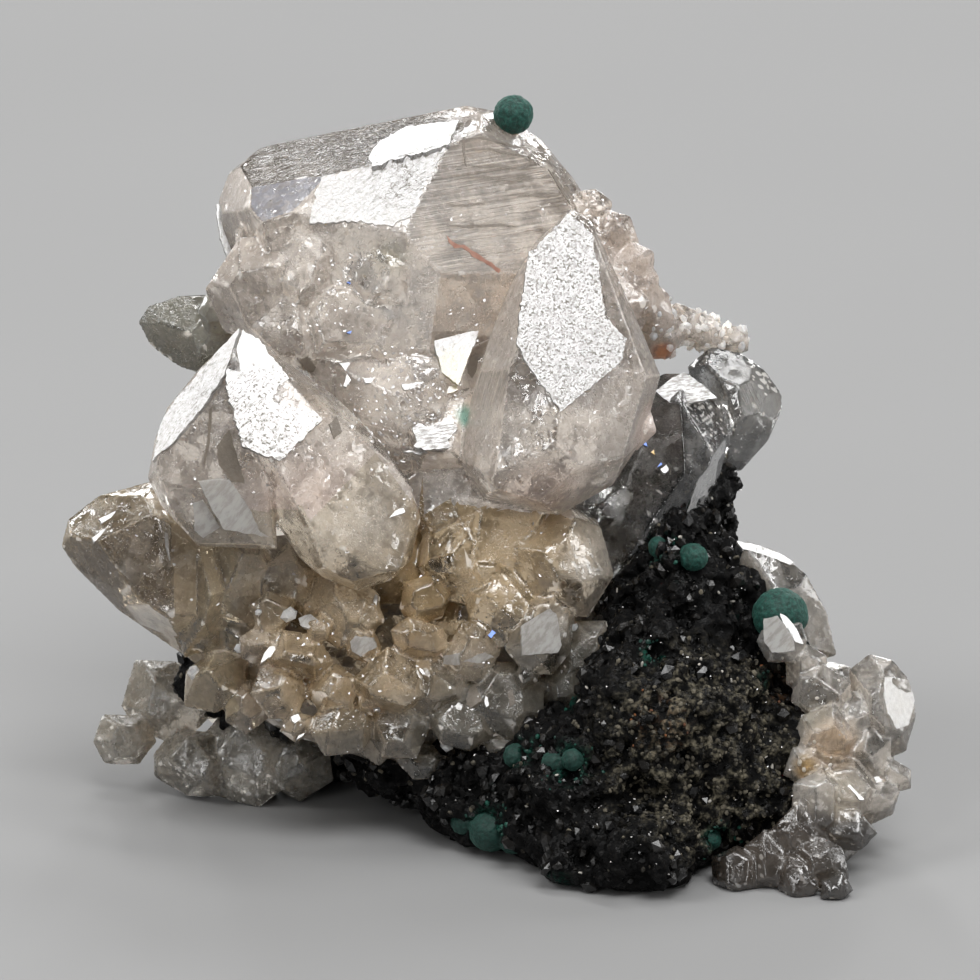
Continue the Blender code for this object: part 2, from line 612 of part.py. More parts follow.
def build():
    for thing in list(bpy.data.objects):
        bpy.data.objects.remove(thing)
    stand = bpy.data.objects.new("specimen_stand", None)
    bpy.context.scene.collection.objects.link(stand)
    stand.rotation_euler.x = -LOOK_DOWN

    main_group, main_sockets = group_of_crystals(
        "cerussite_main_group", main_group_shapes(), stand, "cerussite"
    )
    clear_pair, clear_sockets = group_of_crystals(
        "cerussite_clear_pair", CLEAR_PAIR, stand, "clear_cerussite"
    )
    right_shapes = dict(RIGHT_GROUP)
    for x, h, d, size, seed in RIGHT_LUMPS:
        right_shapes[f"right_lump_{seed}"] = bud(x, h, d, size, seed, depth=1.4)
    right_group, right_sockets = group_of_crystals(
        "cerussite_right_group", right_shapes, stand, "frosted_cerussite"
    )
    left_shapes = {}
    for x, h, d, size, seed in LEFT_GROUP:
        left_shapes[f"left_lump_{seed}"] = bud(x, h, d, size, seed, depth=1.1)
    left_group, left_sockets = group_of_crystals(
        "cerussite_left_group", left_shapes, stand, "smoky_cerussite"
    )
    rock = place("gossan_matrix", rock_mesh(), stand, "gossan")
    fuse(rock)

    ball_sockets = guides("ball_sockets")
    for name, (first, *others) in MALACHITE.items():
        ball = place(name, ball_mesh(*first), stand, "malachite")
        if others:
            grown_on = guides(name + "_others")
            for other in others:
                place(name + "_part", ball_mesh(*other), stand, collection=grown_on)
            combine(ball, grown_on, "UNION")
        for x, h, d, radius in (first, *others):
            place(name + "_socket", ball_mesh(x, h, d, radius + ROOT_GAP), stand, collection=ball_sockets)

    combine(clear_pair, main_sockets, "DIFFERENCE")
    for sockets in (main_sockets, clear_sockets, right_sockets, left_sockets, ball_sockets):
        combine(rock, sockets, "DIFFERENCE")
    for solid in (main_group, clear_pair, right_group):
        combine(solid, ball_sockets, "DIFFERENCE")

    floor = floor_block(stand, FLOOR_LEVEL)
    for solid in (rock, left_group, right_group):
        combine(solid, floor.users_collection[0], "DIFFERENCE")

    bpy.context.view_layer.update()
    for thing in [thing for thing, corners in solids()]:
        keep_as_cut(thing)
    for collection in list(bpy.data.collections):
        for guide in list(collection.objects):
            bpy.data.objects.remove(guide)
        bpy.data.collections.remove(collection)
    centre_on_floor(stand)


build()
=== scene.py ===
# %% [markdown]
# # A cerussite specimen, step by step
# Cerussite is lead carbonate. It grows as glassy, heavy crystals that bend light almost as much as a
# diamond does. This specimen is a group of pale crystals over a crust of small ones, on a dark rusty
# rock called gossan, with round green balls of malachite.
#
# The solids of the part are the fixed frame. Each cell below turns one of them into something that
# looks like the mineral, and adds what sits on it or is sealed inside it.

# %% Load the frame
import json
import math
import random

import bpy
import numpy as np
from mathutils import Matrix, Vector, noise

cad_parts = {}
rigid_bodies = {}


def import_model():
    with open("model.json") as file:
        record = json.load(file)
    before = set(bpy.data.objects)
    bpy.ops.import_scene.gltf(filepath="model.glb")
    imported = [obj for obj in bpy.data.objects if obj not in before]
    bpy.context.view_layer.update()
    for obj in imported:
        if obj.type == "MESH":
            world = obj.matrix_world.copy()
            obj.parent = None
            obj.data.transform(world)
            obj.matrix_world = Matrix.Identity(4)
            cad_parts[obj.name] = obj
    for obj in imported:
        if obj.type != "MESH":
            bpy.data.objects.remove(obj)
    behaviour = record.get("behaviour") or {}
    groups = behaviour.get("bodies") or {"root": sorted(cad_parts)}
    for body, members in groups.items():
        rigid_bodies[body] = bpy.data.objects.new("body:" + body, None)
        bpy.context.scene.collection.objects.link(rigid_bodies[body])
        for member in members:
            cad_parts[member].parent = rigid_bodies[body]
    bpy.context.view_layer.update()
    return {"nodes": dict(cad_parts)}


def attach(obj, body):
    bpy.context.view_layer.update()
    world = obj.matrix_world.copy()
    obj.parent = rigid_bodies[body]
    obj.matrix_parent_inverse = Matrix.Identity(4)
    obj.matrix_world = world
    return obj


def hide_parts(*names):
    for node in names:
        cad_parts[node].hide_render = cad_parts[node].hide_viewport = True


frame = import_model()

# %% [markdown]
# ## Where things are
# The specimen was described from the front, looking down at it by 20 degrees. In that view x runs to
# the right, h up the picture and d away from the viewer, in millimetres. Blender works in metres with
# Z up, so one small function turns a place in the view into a place in the frame. A second one turns
# an array of points back, which is how faces are picked by where they are seen.

# %% The view frame
MM = 0.001
LOOK_DOWN = math.radians(20)
STAND = Vector((0.05, -8.47206, 0.0)) * MM
TILT = Matrix.Rotation(-LOOK_DOWN, 3, "X")
PIXELS_PER_MM = 34.0
# The picture's column where x is 0 and its row where h is 0.
MIDDLE_COLUMN = 490
FLOOR_ROW = 900


def place(x, h, d):
    """A point of the view, in mm, as a point of the frame, in metres."""
    return TILT @ (Vector((x, d, h)) * MM) + STAND


def pixel(u, v):
    """The x and h, in mm, of what the picture shows at pixel u, v."""
    return (u - MIDDLE_COLUMN) / PIXELS_PER_MM, (FLOOR_ROW - v) / PIXELS_PER_MM


def seen(u, v, d):
    """The point that the picture shows at pixel u, v, when it lies d mm deep."""
    return place(*pixel(u, v), d)


def heading(turn, lift):
    """A direction that faces the viewer, turned to the right and lifted, in degrees."""
    turn, lift = math.radians(turn), math.radians(lift)
    across = math.sin(turn) * math.cos(lift)
    away = -math.cos(turn) * math.cos(lift)
    return TILT @ Vector((across, away, math.sin(lift)))


def axis(x, h, d):
    """The angles that lay a texture's X along this direction of the view."""
    return tuple((TILT @ Vector((x, d, h))).to_track_quat("X", "Z").to_euler())


def in_view(points):
    """Points of the frame, in metres, as rows of x, h and d of the view, in mm."""
    points = (points.reshape(-1, 3) - np.array(STAND)) / MM
    cosine, sine = math.cos(LOOK_DOWN), math.sin(LOOK_DOWN)
    away_from = points[:, 1] * cosine - points[:, 2] * sine
    height = points[:, 1] * sine + points[:, 2] * cosine
    return np.stack([points[:, 0], height, away_from], axis=1)


def view_points(piece):
    """Where the piece's vertices are in the view."""
    points = np.empty(len(piece.data.vertices) * 3, np.float32)
    piece.data.vertices.foreach_get("co", points)
    return in_view(points)


def view_faces(piece):
    """Where the middles of the piece's faces are in the view."""
    points = np.empty(len(piece.data.polygons) * 3, np.float32)
    piece.data.polygons.foreach_get("center", points)
    return in_view(points)


# %% [markdown]
# ## The camera
# The picture is a close-up taken with a long lens from half a metre, so there is almost no
# perspective. The lens is worked out from how many millimetres the frame has to hold.

# %% Camera
CAMERA_DISTANCE = 0.5
FRAME_PIXELS = 980
SENSOR_MM = 36
MIDDLE_DEPTH = 6.0

target = seen(FRAME_PIXELS / 2, FRAME_PIXELS / 2, MIDDLE_DEPTH)
away = (TILT @ Vector((0, 1, 0))).normalized()
camera_data = bpy.data.cameras.new("camera")
camera = bpy.data.objects.new("camera", camera_data)
bpy.context.scene.collection.objects.link(camera)
camera_data.sensor_width = SENSOR_MM
camera_data.lens = SENSOR_MM * CAMERA_DISTANCE / (FRAME_PIXELS / PIXELS_PER_MM * MM)
camera_data.clip_start = 0.01
camera.location = target - away * CAMERA_DISTANCE
camera.rotation_mode = "QUATERNION"
camera.rotation_quaternion = away.to_track_quat("-Z", "Y")
bpy.context.scene.camera = camera
print("Camera lens in mm:", round(camera_data.lens, 1))

# %% [markdown]
# ## Floor and light
# Glassy crystals show their surroundings, so the light is part of the model's look. A big soft key
# light stands where the flat faces that flash in the picture would mirror it: to the right of the
# camera and above. A second softbox on the left lights the left blade. The rest of the room is dim,
# because a crystal that mirrors white on every side looks like milk. Light takes eight turns at most,
# which is enough to cross two crystals and keeps the picture quick.


# %% Lights
def softbox(name, turn, lift, distance, width, height, radiance):
    """A rectangular lamp in the given direction from the specimen. Radiance is its surface's brightness."""
    direction = heading(turn, lift)
    data = bpy.data.lights.new(name, "AREA")
    data.shape = "RECTANGLE"
    data.size = width
    data.size_y = height
    data.energy = radiance * math.pi * width * height
    lamp = bpy.data.objects.new(name, data)
    bpy.context.scene.collection.objects.link(lamp)
    lamp.location = target + direction * distance
    lamp.rotation_mode = "QUATERNION"
    lamp.rotation_quaternion = direction.to_track_quat("Z", "Y")
    print(name, "energy in W:", round(data.energy, 3))


# Turn and lift in degrees, distance, width and height in metres, radiance.
LAMPS = {
    "key_softbox": (17, 42, 0.45, 0.25, 0.18, 8.6),
    "left_softbox": (-62, 40, 0.45, 0.16, 0.20, 6.5),
    "top_softbox": (150, 68, 0.50, 0.20, 0.12, 5.2),
    "right_rim": (105, 25, 0.45, 0.10, 0.25, 5.0),
    "low_strip": (-25, 4, 0.45, 0.03, 0.30, 10.0),
    "right_strip": (62, 12, 0.45, 0.03, 0.30, 10.0),
    "high_strip": (35, 78, 0.45, 0.30, 0.04, 14.0),
    "back_strip_1": (165, 30, 0.50, 0.05, 0.30, 11.0),
    "back_strip_2": (-165, 48, 0.50, 0.05, 0.30, 11.0),
    "back_strip_3": (-128, 28, 0.50, 0.05, 0.30, 11.0),
}
for lamp_name, row in LAMPS.items():
    softbox(lamp_name, *row)

world = bpy.data.worlds.new("dim_room")
bpy.context.scene.world = world
world.use_nodes = True
background = world.node_tree.nodes["Background"]
background.inputs["Color"].default_value = (1.0, 0.98, 0.96, 1)
background.inputs["Strength"].default_value = 0.10
bpy.context.scene.view_settings.view_transform = "Standard"
cycles = bpy.context.scene.cycles
cycles.max_bounces = 8
cycles.diffuse_bounces = 2
cycles.glossy_bounces = 3
cycles.transmission_bounces = 8

# %% [markdown]
# ## Shader sums in plain Python
# A material is a network of nodes. Written by hand that is long, so a small class wraps one socket
# and lets Python's own signs add the Math nodes: `1 - mask` adds a Subtract node. Everything else
# comes from one method, which sets a node's settings first and then its sockets.


# %% Wires and recipes
class Wire:
    """One output socket of a recipe, which can be used in sums."""

    def __init__(self, recipe, socket):
        self.recipe = recipe
        self.socket = socket

    def math(self, operation, first, second):
        settings = {"operation": operation}
        return self.recipe.add("ShaderNodeMath", settings, {0: first, 1: second})

    def __add__(self, other):
        return self.math("ADD", self, other)

    def __radd__(self, other):
        return self.math("ADD", other, self)

    def __sub__(self, other):
        return self.math("SUBTRACT", self, other)

    def __rsub__(self, other):
        return self.math("SUBTRACT", other, self)

    def __mul__(self, other):
        return self.math("MULTIPLY", self, other)

    def __rmul__(self, other):
        return self.math("MULTIPLY", other, self)


class Recipe:
    """A material, with one method that adds any node to it."""

    def __init__(self, name):
        self.material = bpy.data.materials.new(name)
        self.material.use_nodes = True
        self.tree = self.material.node_tree
        self.tree.nodes.clear()
        self.where = self.add("ShaderNodeTexCoord", output="Object")

    def add(self, kind, settings=None, values=None, output=0):
        node = self.tree.nodes.new(kind)
        for name, setting in (settings or {}).items():
            setattr(node, name, setting)
        for name, value in (values or {}).items():
            if isinstance(value, Wire):
                self.tree.links.new(value.socket, node.inputs[name])
            else:
                node.inputs[name].default_value = value
        return Wire(self, node.outputs[output])

    def principled(self, values):
        """The one shader that every finish here is made of."""
        return self.add("ShaderNodeBsdfPrincipled", {}, values)

    def vector(self, operation, first, second, output=0):
        return self.add("ShaderNodeVectorMath", {"operation": operation}, {0: first, 1: second}, output)

    def spread(self, stretch=None, turn=(0, 0, 0)):
        """The place, stretched and turned, which makes a texture longer along one direction."""
        if not stretch:
            return self.where
        values = {"Vector": self.where, "Rotation": turn, "Scale": stretch}
        return self.add("ShaderNodeMapping", {"vector_type": "TEXTURE"}, values)

    def noise(self, size, detail=3.0, rough=0.5, stretch=None, turn=(0, 0, 0)):
        """Cloudy noise from 0 to 1, whose blotches are about size mm across."""
        values = {"Vector": self.spread(stretch, turn), "Scale": 1 / (size * MM)}
        values.update({"Detail": detail, "Roughness": rough})
        return self.add("ShaderNodeTexNoise", {}, values)

    def patch(self, size, stretch=None, turn=(0, 0, 0)):
        """A number from 0 to 1 for each of many angular patches about size mm across."""
        values = {"Vector": self.spread(stretch, turn), "Scale": 1 / (size * MM)}
        return self.add("ShaderNodeTexVoronoi", {}, values, "Color")

    def step(self, value, low, high, to_low=0.0, to_high=1.0):
        """A smooth step from one value to another."""
        values = {"Value": value, "From Min": low, "From Max": high, "To Min": to_low, "To Max": to_high}
        return self.add("ShaderNodeMapRange", {"interpolation_type": "SMOOTHSTEP"}, values)

    def near(self, centre, inner, outer):
        """1 inside a ball of inner mm round a point of the frame, 0 outside outer mm."""
        distance = self.vector("DISTANCE", self.where, centre, "Value")
        return self.step(distance, inner * MM, outer * MM, 1.0, 0.0)

    def blend(self, mask, first, second):
        """The first colour where the mask is 0, the second where it is 1. A Mix node keeps its colours
        in sockets 6 and 7 and gives the blend at output 2."""
        values = {0: mask, 6: first, 7: second}
        for key in (6, 7):
            if not isinstance(values[key], Wire):
                values[key] = (*values[key], 1)
        return self.add("ShaderNodeMix", {"data_type": "RGBA"}, values, 2)

    def mosaic(self, size, tilt, stretch=None, turn=(0, 0, 0)):
        """A relief in mm of flat facets about size mm across, each tilted its own way."""
        where = self.spread(stretch, turn)
        values = {"Vector": where, "Scale": 1 / (size * MM)}
        middle = self.add("ShaderNodeTexVoronoi", {}, values, "Position")
        chance = Wire(self, middle.socket.node.outputs["Color"])
        offset = self.vector("SUBTRACT", where, middle)
        way = self.vector("SUBTRACT", chance, (0.5, 0.5, 0.5))
        return self.vector("DOT_PRODUCT", offset, way, "Value") * (tilt / MM)

    def by_face(self, size):
        """A number from 0 to 1 that is the same all over a flat face and another on the next face."""
        normal = self.add("ShaderNodeNewGeometry", output="True Normal")
        values = {"Vector": normal, "Scale": 1 / size, "Detail": 0, "Roughness": 0.5}
        return self.step(self.add("ShaderNodeTexNoise", {}, values), 0.30, 0.70)

    def facing(self, turn, lift, tolerance):
        """1 on faces that point that way, 0 on those more than tolerance degrees off."""
        normal = self.add("ShaderNodeNewGeometry", output="True Normal")
        along = self.vector("DOT_PRODUCT", normal, heading(turn, lift), "Value")
        outer, inner = math.radians(tolerance), math.radians(tolerance * 0.6)
        return self.step(along, math.cos(outer), math.cos(inner))

    def bump(self, height):
        """Normals for a relief whose height is in mm."""
        return self.add("ShaderNodeBump", {}, {"Height": height, "Distance": MM, "Strength": 1.0})

    def finish(self, surface, volume=None):
        values = {"Surface": surface}
        if volume:
            values["Volume"] = volume
        node = self.tree.nodes.new("ShaderNodeOutputMaterial")
        for name, wire in values.items():
            self.tree.links.new(wire.socket, node.inputs[name])
        return self.material


# %% [markdown]
# ## Tools for shaping
# A copy of a frame node is a bag of loose triangles, so its doubles are merged before anything else.
# Modifiers are applied at once, as one does by hand when a step is finished. The voxel remesh fuses
# what overlaps into one skin of small even faces, and that skin can then be smoothed and roughened by
# place. The decimation afterwards spends the faces where the surface bends.


# %% Shaping tools
def only(*things):
    """Selects these objects and nothing else. The first one is active."""
    for thing in bpy.context.view_layer.objects:
        if thing.select_get():
            thing.select_set(False)
    for thing in things:
        thing.select_set(True)
    bpy.context.view_layer.objects.active = things[0]


def copy_node(node, name):
    """A copy of a frame node's mesh as a new object, its loose triangles merged."""
    piece = bpy.data.objects.new(name, frame["nodes"][node].data.copy())
    bpy.context.scene.collection.objects.link(piece)
    piece.data.materials.clear()
    only(piece)
    bpy.ops.object.mode_set(mode="EDIT")
    bpy.ops.mesh.select_all(action="SELECT")
    bpy.ops.mesh.remove_doubles(threshold=1e-7)
    bpy.ops.object.mode_set(mode="OBJECT")
    return piece


def modify(piece, kind, **settings):
    """Adds a modifier and applies it."""
    modifier = piece.modifiers.new(kind.lower(), kind)
    for name, setting in settings.items():
        setattr(modifier, name, setting)
    only(piece)
    bpy.ops.object.modifier_apply(modifier=modifier.name)
    return piece


def settle(piece):
    """Puts the object at the origin, unturned and unscaled, with its place in its mesh."""
    only(piece)
    bpy.ops.object.transform_apply(location=True, rotation=True, scale=True)
    return piece


def skin(piece, voxel):
    """One closed skin over everything in the piece that overlaps, with faces voxel mm wide."""
    return modify(piece, "REMESH", mode="VOXEL", voxel_size=voxel * MM, use_smooth_shade=True)


def weigh(piece, group, weights):
    """Stores a weight for each vertex, in steps of a sixteenth, as a vertex group."""
    vertex_group = piece.vertex_groups.new(name=group)
    levels = np.rint(np.clip(weights, 0, 1) * 16).astype(int)
    for level in range(1, 17):
        members = np.nonzero(levels == level)[0]
        if len(members):
            vertex_group.add(members.tolist(), level / 16, "REPLACE")


def relief(piece, group, size, height, kind="CLOUDS", middle=0.5, depth=2, creased=False):
    """Raises and lowers the skin by height mm, with lumps of about size mm, where the group has weight."""
    texture = bpy.data.textures.new(f"relief_{size}", kind)
    texture.noise_scale = size * MM
    if kind == "CLOUDS":
        texture.noise_depth = depth
        texture.noise_basis = "ORIGINAL_PERLIN"
        texture.noise_type = "HARD_NOISE" if creased else "SOFT_NOISE"
    settings = {"texture": texture, "strength": height * MM, "mid_level": middle}
    if group:
        settings["vertex_group"] = group
    return modify(piece, "DISPLACE", **settings)


def thin_out(piece, triangles):
    """Brings the piece down to that many triangles, flat places first."""
    now = sum(len(face.vertices) - 2 for face in piece.data.polygons)
    if now > triangles:
        modify(piece, "DECIMATE", ratio=triangles / now, use_collapse_triangulate=True)
    print(piece.name, "triangles:", now, "to", len(piece.data.polygons))


def within(points, x, h, d, inner, outer):
    """1 for points within inner mm of a place in the view, 0 past outer mm."""
    distance = np.linalg.norm(points - np.array([x, h, d]), axis=1)
    return np.clip((outer - distance) / (outer - inner), 0, 1)


def strongest(points, rows):
    """The most that any row gives each point. A row is a share and a place, as within wants it."""
    return np.maximum.reduce([share * within(points, *row) for share, *row in rows])


def toward(piece, turn, lift):
    """How much each vertex of the piece faces that turn and lift: 1 is straight at it, 0 is side on."""
    normals = np.empty(len(piece.data.vertices) * 3, np.float32)
    piece.data.vertex_normals.foreach_get("vector", normals)
    return normals.reshape(-1, 3) @ np.array(heading(turn, lift))


def soft_step(values, low, high):
    share = np.clip((values - low) / (high - low), 0, 1)
    return share * share * (3 - 2 * share)


def dress(piece, material, slot_name, *nodes, others=()):
    """Gives a finished piece its material, hangs it on the root body and hides the frame nodes that it
    replaces. Others are pairs of a material and which faces have it instead."""
    piece.data.materials.clear()
    piece.data.materials.append(material)
    for number, (other, faces) in enumerate(others, start=1):
        piece.data.materials.append(other)
        index = np.zeros(len(piece.data.polygons), np.int32)
        piece.data.polygons.foreach_get("material_index", index)
        index[faces] = number
        piece.data.polygons.foreach_set("material_index", index)
    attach(piece, "root")
    if nodes:
        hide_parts(*nodes)


# %% [markdown]
# ## The finish of the crystals
# Cerussite is half clear and half milky. Two shaders are mixed: a clear one that lets light through
# and bends it, and a milky one in which light scatters under the skin. The mask between them is
# cloudy, so the crystals look clear in one place and veiled in another. Edges turn paler, because
# that is where light leaves a crystal. Honey, pink and brown tints sit where the picture has them.


# %% Glassy finishes
def tint_places(recipe, base, tints):
    """A base colour with soft balls of other colours in it. Each tint is (x, h, d, inner, outer, share,
    colour)."""
    colour = base
    for x, h, d, inner, outer, share, tint in tints:
        colour = recipe.blend(recipe.near(place(x, h, d), inner, outer) * share, colour, tint)
    return colour


def glassy(name, clear_tint, milk_tint, milk, roughness, absorb=None, tints=(), faces=(), milky_places=(),
           grooves=(), etch=1.0, ripple=1.0, rims=1.0):
    """Cerussite between clear and milky. Milk is the least and the most share of the milky shader.
    Absorb is the colour that light takes on inside and how densely.
    Faces are (turn, lift, tolerance, place, reach, share, colour): flat faces that get this colour.
    Grooves are (turn, lift, tolerance, place, reach, width, stretch, angles, depth) on such faces."""
    recipe = Recipe(name)
    cloud = recipe.noise(1.3, 2, 0.6)
    fine = recipe.noise(0.24, 2, 0.65)
    grain = recipe.noise(0.055, 1, 0.6)
    bend = recipe.add("ShaderNodeNewGeometry", output="Pointiness")
    rim = recipe.step(bend, 0.55, 0.63) * rims
    crease = recipe.step(bend, 0.465, 0.40)
    # Painted light and shade: each flat face gets a brightness of its own, standing in for how differently
    # each face catches the lamps.
    facet_light_and_shade = recipe.by_face(0.45)
    worked = recipe.step(cloud * 0.7 + fine * 0.3, 0.50, 0.58, 0.06, 1.0) * etch
    height = recipe.mosaic(0.36, 0.26 * ripple) * recipe.step(fine, 0.44, 0.52, 0.15, 1.0)
    height = height + (grain - 0.5) * 0.030 * worked
    share = recipe.step(cloud, 0.36, 0.62, milk[0], milk[1])
    share = share + (fine - 0.5) * 0.5 + rim * 0.45 + crease * 0.25
    share = share + recipe.step(grain, 0.62, 0.70) * worked * 0.35 + (facet_light_and_shade - 0.5) * 0.32
    shaded_clear = tuple(0.80 * part for part in clear_tint)
    shaded_milk = tuple(0.66 * part for part in milk_tint)
    clear_colour = tint_places(recipe, recipe.blend(facet_light_and_shade, shaded_clear, clear_tint), tints)
    milk_colour = recipe.blend(facet_light_and_shade * 0.7 + fine * 0.3, shaded_milk, milk_tint)
    milk_colour = tint_places(recipe, milk_colour, tints)
    for turn, lift, tolerance, foot, reach, width, stretch, angles, depth in grooves:
        mask = recipe.facing(turn, lift, tolerance) * recipe.near(place(*foot), reach * 0.7, reach)
        lines = recipe.noise(width, 2, 0.65, stretch=stretch, turn=angles)
        height = height * (1 - mask * 0.8) + mask * (lines - 0.5) * depth
        share = share + mask * recipe.step(lines, 0.55, 0.66, -0.05, 0.25)
        # Painted shade: the colour darkens in the troughs of the grooves.
        dark = mask * recipe.step(lines, 0.47, 0.38) * 0.8
        milk_colour = recipe.blend(dark, milk_colour, (0.45, 0.40, 0.35))
        clear_colour = recipe.blend(dark, clear_colour, (0.62, 0.57, 0.52))
    for x, h, d, inner, outer, more in milky_places:
        share = share + recipe.near(place(x, h, d), inner, outer) * more
    for turn, lift, tolerance, foot, reach, amount, tint in faces:
        mask = recipe.facing(turn, lift, tolerance) * recipe.near(place(*foot), reach * 0.7, reach)
        mask = mask * recipe.step(fine, 0.35, 0.55, 0.75, 1.0) * amount
        clear_colour = recipe.blend(mask, clear_colour, tint)
        milk_colour = recipe.blend(mask, milk_colour, tint)
    milk_colour = recipe.blend(rim * 0.6, milk_colour, (1.0, 0.97, 0.93))
    rough = recipe.step(fine, 0.40, 0.62, roughness[0], roughness[1])
    normal = recipe.bump(height)
    clear = recipe.principled({
        "Base Color": clear_colour, "Roughness": rough, "IOR": CERUSSITE_IOR, "Transmission Weight": 1.0,
        "Normal": normal,
    })
    milky = recipe.add("ShaderNodeBsdfPrincipled", {"subsurface_method": "BURLEY"}, {
        "Base Color": milk_colour, "Roughness": rough + 0.06, "IOR": CERUSSITE_IOR,
        "Subsurface Weight": 1.0, "Subsurface Radius": (1.0, 0.85, 0.7), "Subsurface Scale": 1.2 * MM,
        "Normal": normal,
    })
    surface = recipe.add("ShaderNodeMixShader", {}, {0: share, 1: clear, 2: milky})
    if not absorb:
        return recipe.finish(surface)
    colour, density = absorb
    values = {"Color": (*colour, 1), "Density": density}
    return recipe.finish(surface, recipe.add("ShaderNodeVolumeAbsorption", {}, values))


CERUSSITE_IOR = 1.85

# %% [markdown]
# ## Colours and grooves of this specimen
# Clear and milky cerussite each have a colour, and the stains are named: honey, pink, two smokes, olive
# and a green. Some faces are grooved. The grooves are noise that is drawn out along one direction, and
# LAYERS and FIBRES say how far along each axis.

# %% Colours and grooves
HONEY = (0.46, 0.325, 0.165)
PINK = (0.86, 0.70, 0.62)
SMOKE = (0.30, 0.22, 0.14)
GREY_SMOKE = (0.18, 0.165, 0.135)
OLIVE = (0.36, 0.33, 0.24)
GREEN_STAIN = (0.10, 0.40, 0.32)
LAYERS = (90, 90, 1)
FIBRES = (26, 1, 1)
CLEAR = (0.95, 0.91, 0.865)
MILK = (0.84, 0.745, 0.66)
print("Stretch of layers and fibres:", LAYERS, FIBRES)

# %% [markdown]
# ## One finish for each kind of crystal
# The pale crystals and the crown of the top block share their colours but not their stains. The crust
# is honey coloured, the wedge at the left brown, the pair at the right almost clear, the group on the
# right shoulder whiter, and the low group at the left smoky. Only the last three soak up light inside.

# %% Finishes of the crystals
pale_cerussite = glassy(
    "pale_cerussite", CLEAR, MILK, (0.34, 0.46), (0.02, 0.09),
    tints=[
        (-5.5, 11.3, 1.5, 0.8, 2.8, 0.6, (0.82, 0.64, 0.56)),
        (1.6, 11.6, 1.5, 0.6, 2.0, 0.7, (0.72, 0.54, 0.45)),
        (4.4, 18.0, 5.0, 1.8, 2.8, 0.9, (0.46, 0.39, 0.34)),
        (4.2, 13.9, 3.2, 0.5, 1.4, 0.7, PINK),
        # Painted highlight: a warm pale spot at the lower end of the right blade.
        (-4.1, 9.5, 1.2, 0.3, 1.3, 0.6, (0.96, 0.80, 0.66)),
        (-5.3, 14.4, 1.2, 0.3, 1.1, 0.55, (0.60, 0.48, 0.37)),
        (-3.4, 12.0, 1.0, 0.3, 1.2, 0.35, (0.62, 0.52, 0.42)),
        (-9.4, 16.6, 6.9, 2.0, 3.2, 1.0, (0.25, 0.24, 0.20)),
        (-0.7, 14.2, 3.4, 0.15, 0.5, 0.8, GREEN_STAIN),
        (5.1, 16.1, 6.3, 0.15, 0.5, 0.95, (0.60, 0.16, 0.03)),
    ],
    milky_places=[(4.4, 18.0, 5.2, 1.4, 2.2, 0.35), (4.3, 13.9, 3.2, 0.5, 1.2, 0.3)],
    grooves=[(-55, 5, 20, (0.2, 17.0, 1.8), 3.0, 0.08, FIBRES, axis(-0.3, -1, 0.2), 0.08)],
)
crown_cerussite = glassy(
    "crown_cerussite", CLEAR, (0.79, 0.70, 0.62), (0.34, 0.46), (0.02, 0.09),
    tints=[
        (-9.5, 16.6, 6.9, 2.0, 2.9, 1.0, (0.25, 0.24, 0.20)),
        (4.4, 18.0, 5.0, 1.8, 2.8, 0.9, (0.46, 0.39, 0.34)),
        (-2.9, 18.9, 3.2, 0.2, 0.8, 0.75, OLIVE),
        (-3.6, 18.4, 3.3, 0.1, 0.4, 0.6, OLIVE),
    ],
    faces=[
        # Painted reflection: this face's lavender grey stands in for what the face mirrors from above.
        (-25, 40, 12, (-5.6, 20.9, 3.5), 2.6, 1.0, (0.40, 0.40, 0.44)),
        (-35, 61, 16, (-4.6, 22.2, 4.6), 4.8, 1.0, (0.09, 0.07, 0.05)),
        (23, -15, 12, (-0.6, 17.6, 3.4), 2.2, 0.8, (0.62, 0.50, 0.40)),
    ],
    milky_places=[(-8.0, 17.0, 5.8, 0.8, 1.5, 0.35)],
    grooves=[
        (23, 13, 14, (0.3, 20.2, 3.9), 3.8, 0.10, LAYERS, (0, 0, 0), 0.07),
        (-35, 61, 14, (-4.6, 22.2, 4.6), 4.2, 0.08, FIBRES, axis(7.3, 2.8, 0), 0.08),
    ],
)
honey_cerussite = glassy(
    "honey_cerussite", (0.82, 0.74, 0.60), (0.70, 0.61, 0.50), (0.32, 0.46), (0.02, 0.10),
    tints=[
        (-0.3, 10.3, 4.0, 2.2, 3.8, 0.85, HONEY),
        (-4.0, 7.6, 3.4, 2.0, 4.2, 0.75, HONEY),
        (-1.0, 5.0, 3.6, 1.0, 2.8, 0.85, GREY_SMOKE),
        (1.8, 6.6, 3.4, 1.0, 2.6, 0.90, GREY_SMOKE),
        (-4.2, 4.6, 3.4, 0.5, 1.8, 0.60, GREY_SMOKE),
        (-7.6, 7.0, 3.8, 0.8, 2.2, 0.7, SMOKE),
        (-10.0, 9.8, 6.0, 2.6, 4.8, 0.9, (0.50, 0.39, 0.25)),
    ],
)
brown_cerussite = glassy(
    "brown_cerussite", (0.78, 0.67, 0.49), (0.52, 0.42, 0.28), (0.30, 0.42), (0.02, 0.10),
    tints=[(-10.4, 9.4, 4.0, 1.0, 3.0, 0.8, SMOKE)],
    grooves=[(-12, 52, 16, (-10.6, 11.4, 3.6), 2.6, 0.08, FIBRES, axis(2.2, 1.0, 0.4), 0.10)],
)
clear_cerussite = glassy(
    "clear_cerussite", (0.88, 0.88, 0.88), (0.34, 0.33, 0.32), (0.06, 0.16), (0.01, 0.05),
    ((0.76, 0.76, 0.75), 230), etch=0.3, ripple=0.22,
    tints=[
        (4.6, 12.6, 4.6, 0.6, 1.7, 0.75, (0.30, 0.28, 0.26)),
        (7.8, 14.9, 5.8, 0.8, 2.0, 0.85, (0.30, 0.29, 0.27)),
    ],
    milky_places=[(7.8, 14.9, 5.8, 0.9, 1.8, 0.24)],
    grooves=[(42, 14, 20, (7.9, 14.9, 5.6), 1.8, 0.08, FIBRES, axis(0.25, -1, 0.2), 0.10)],
)
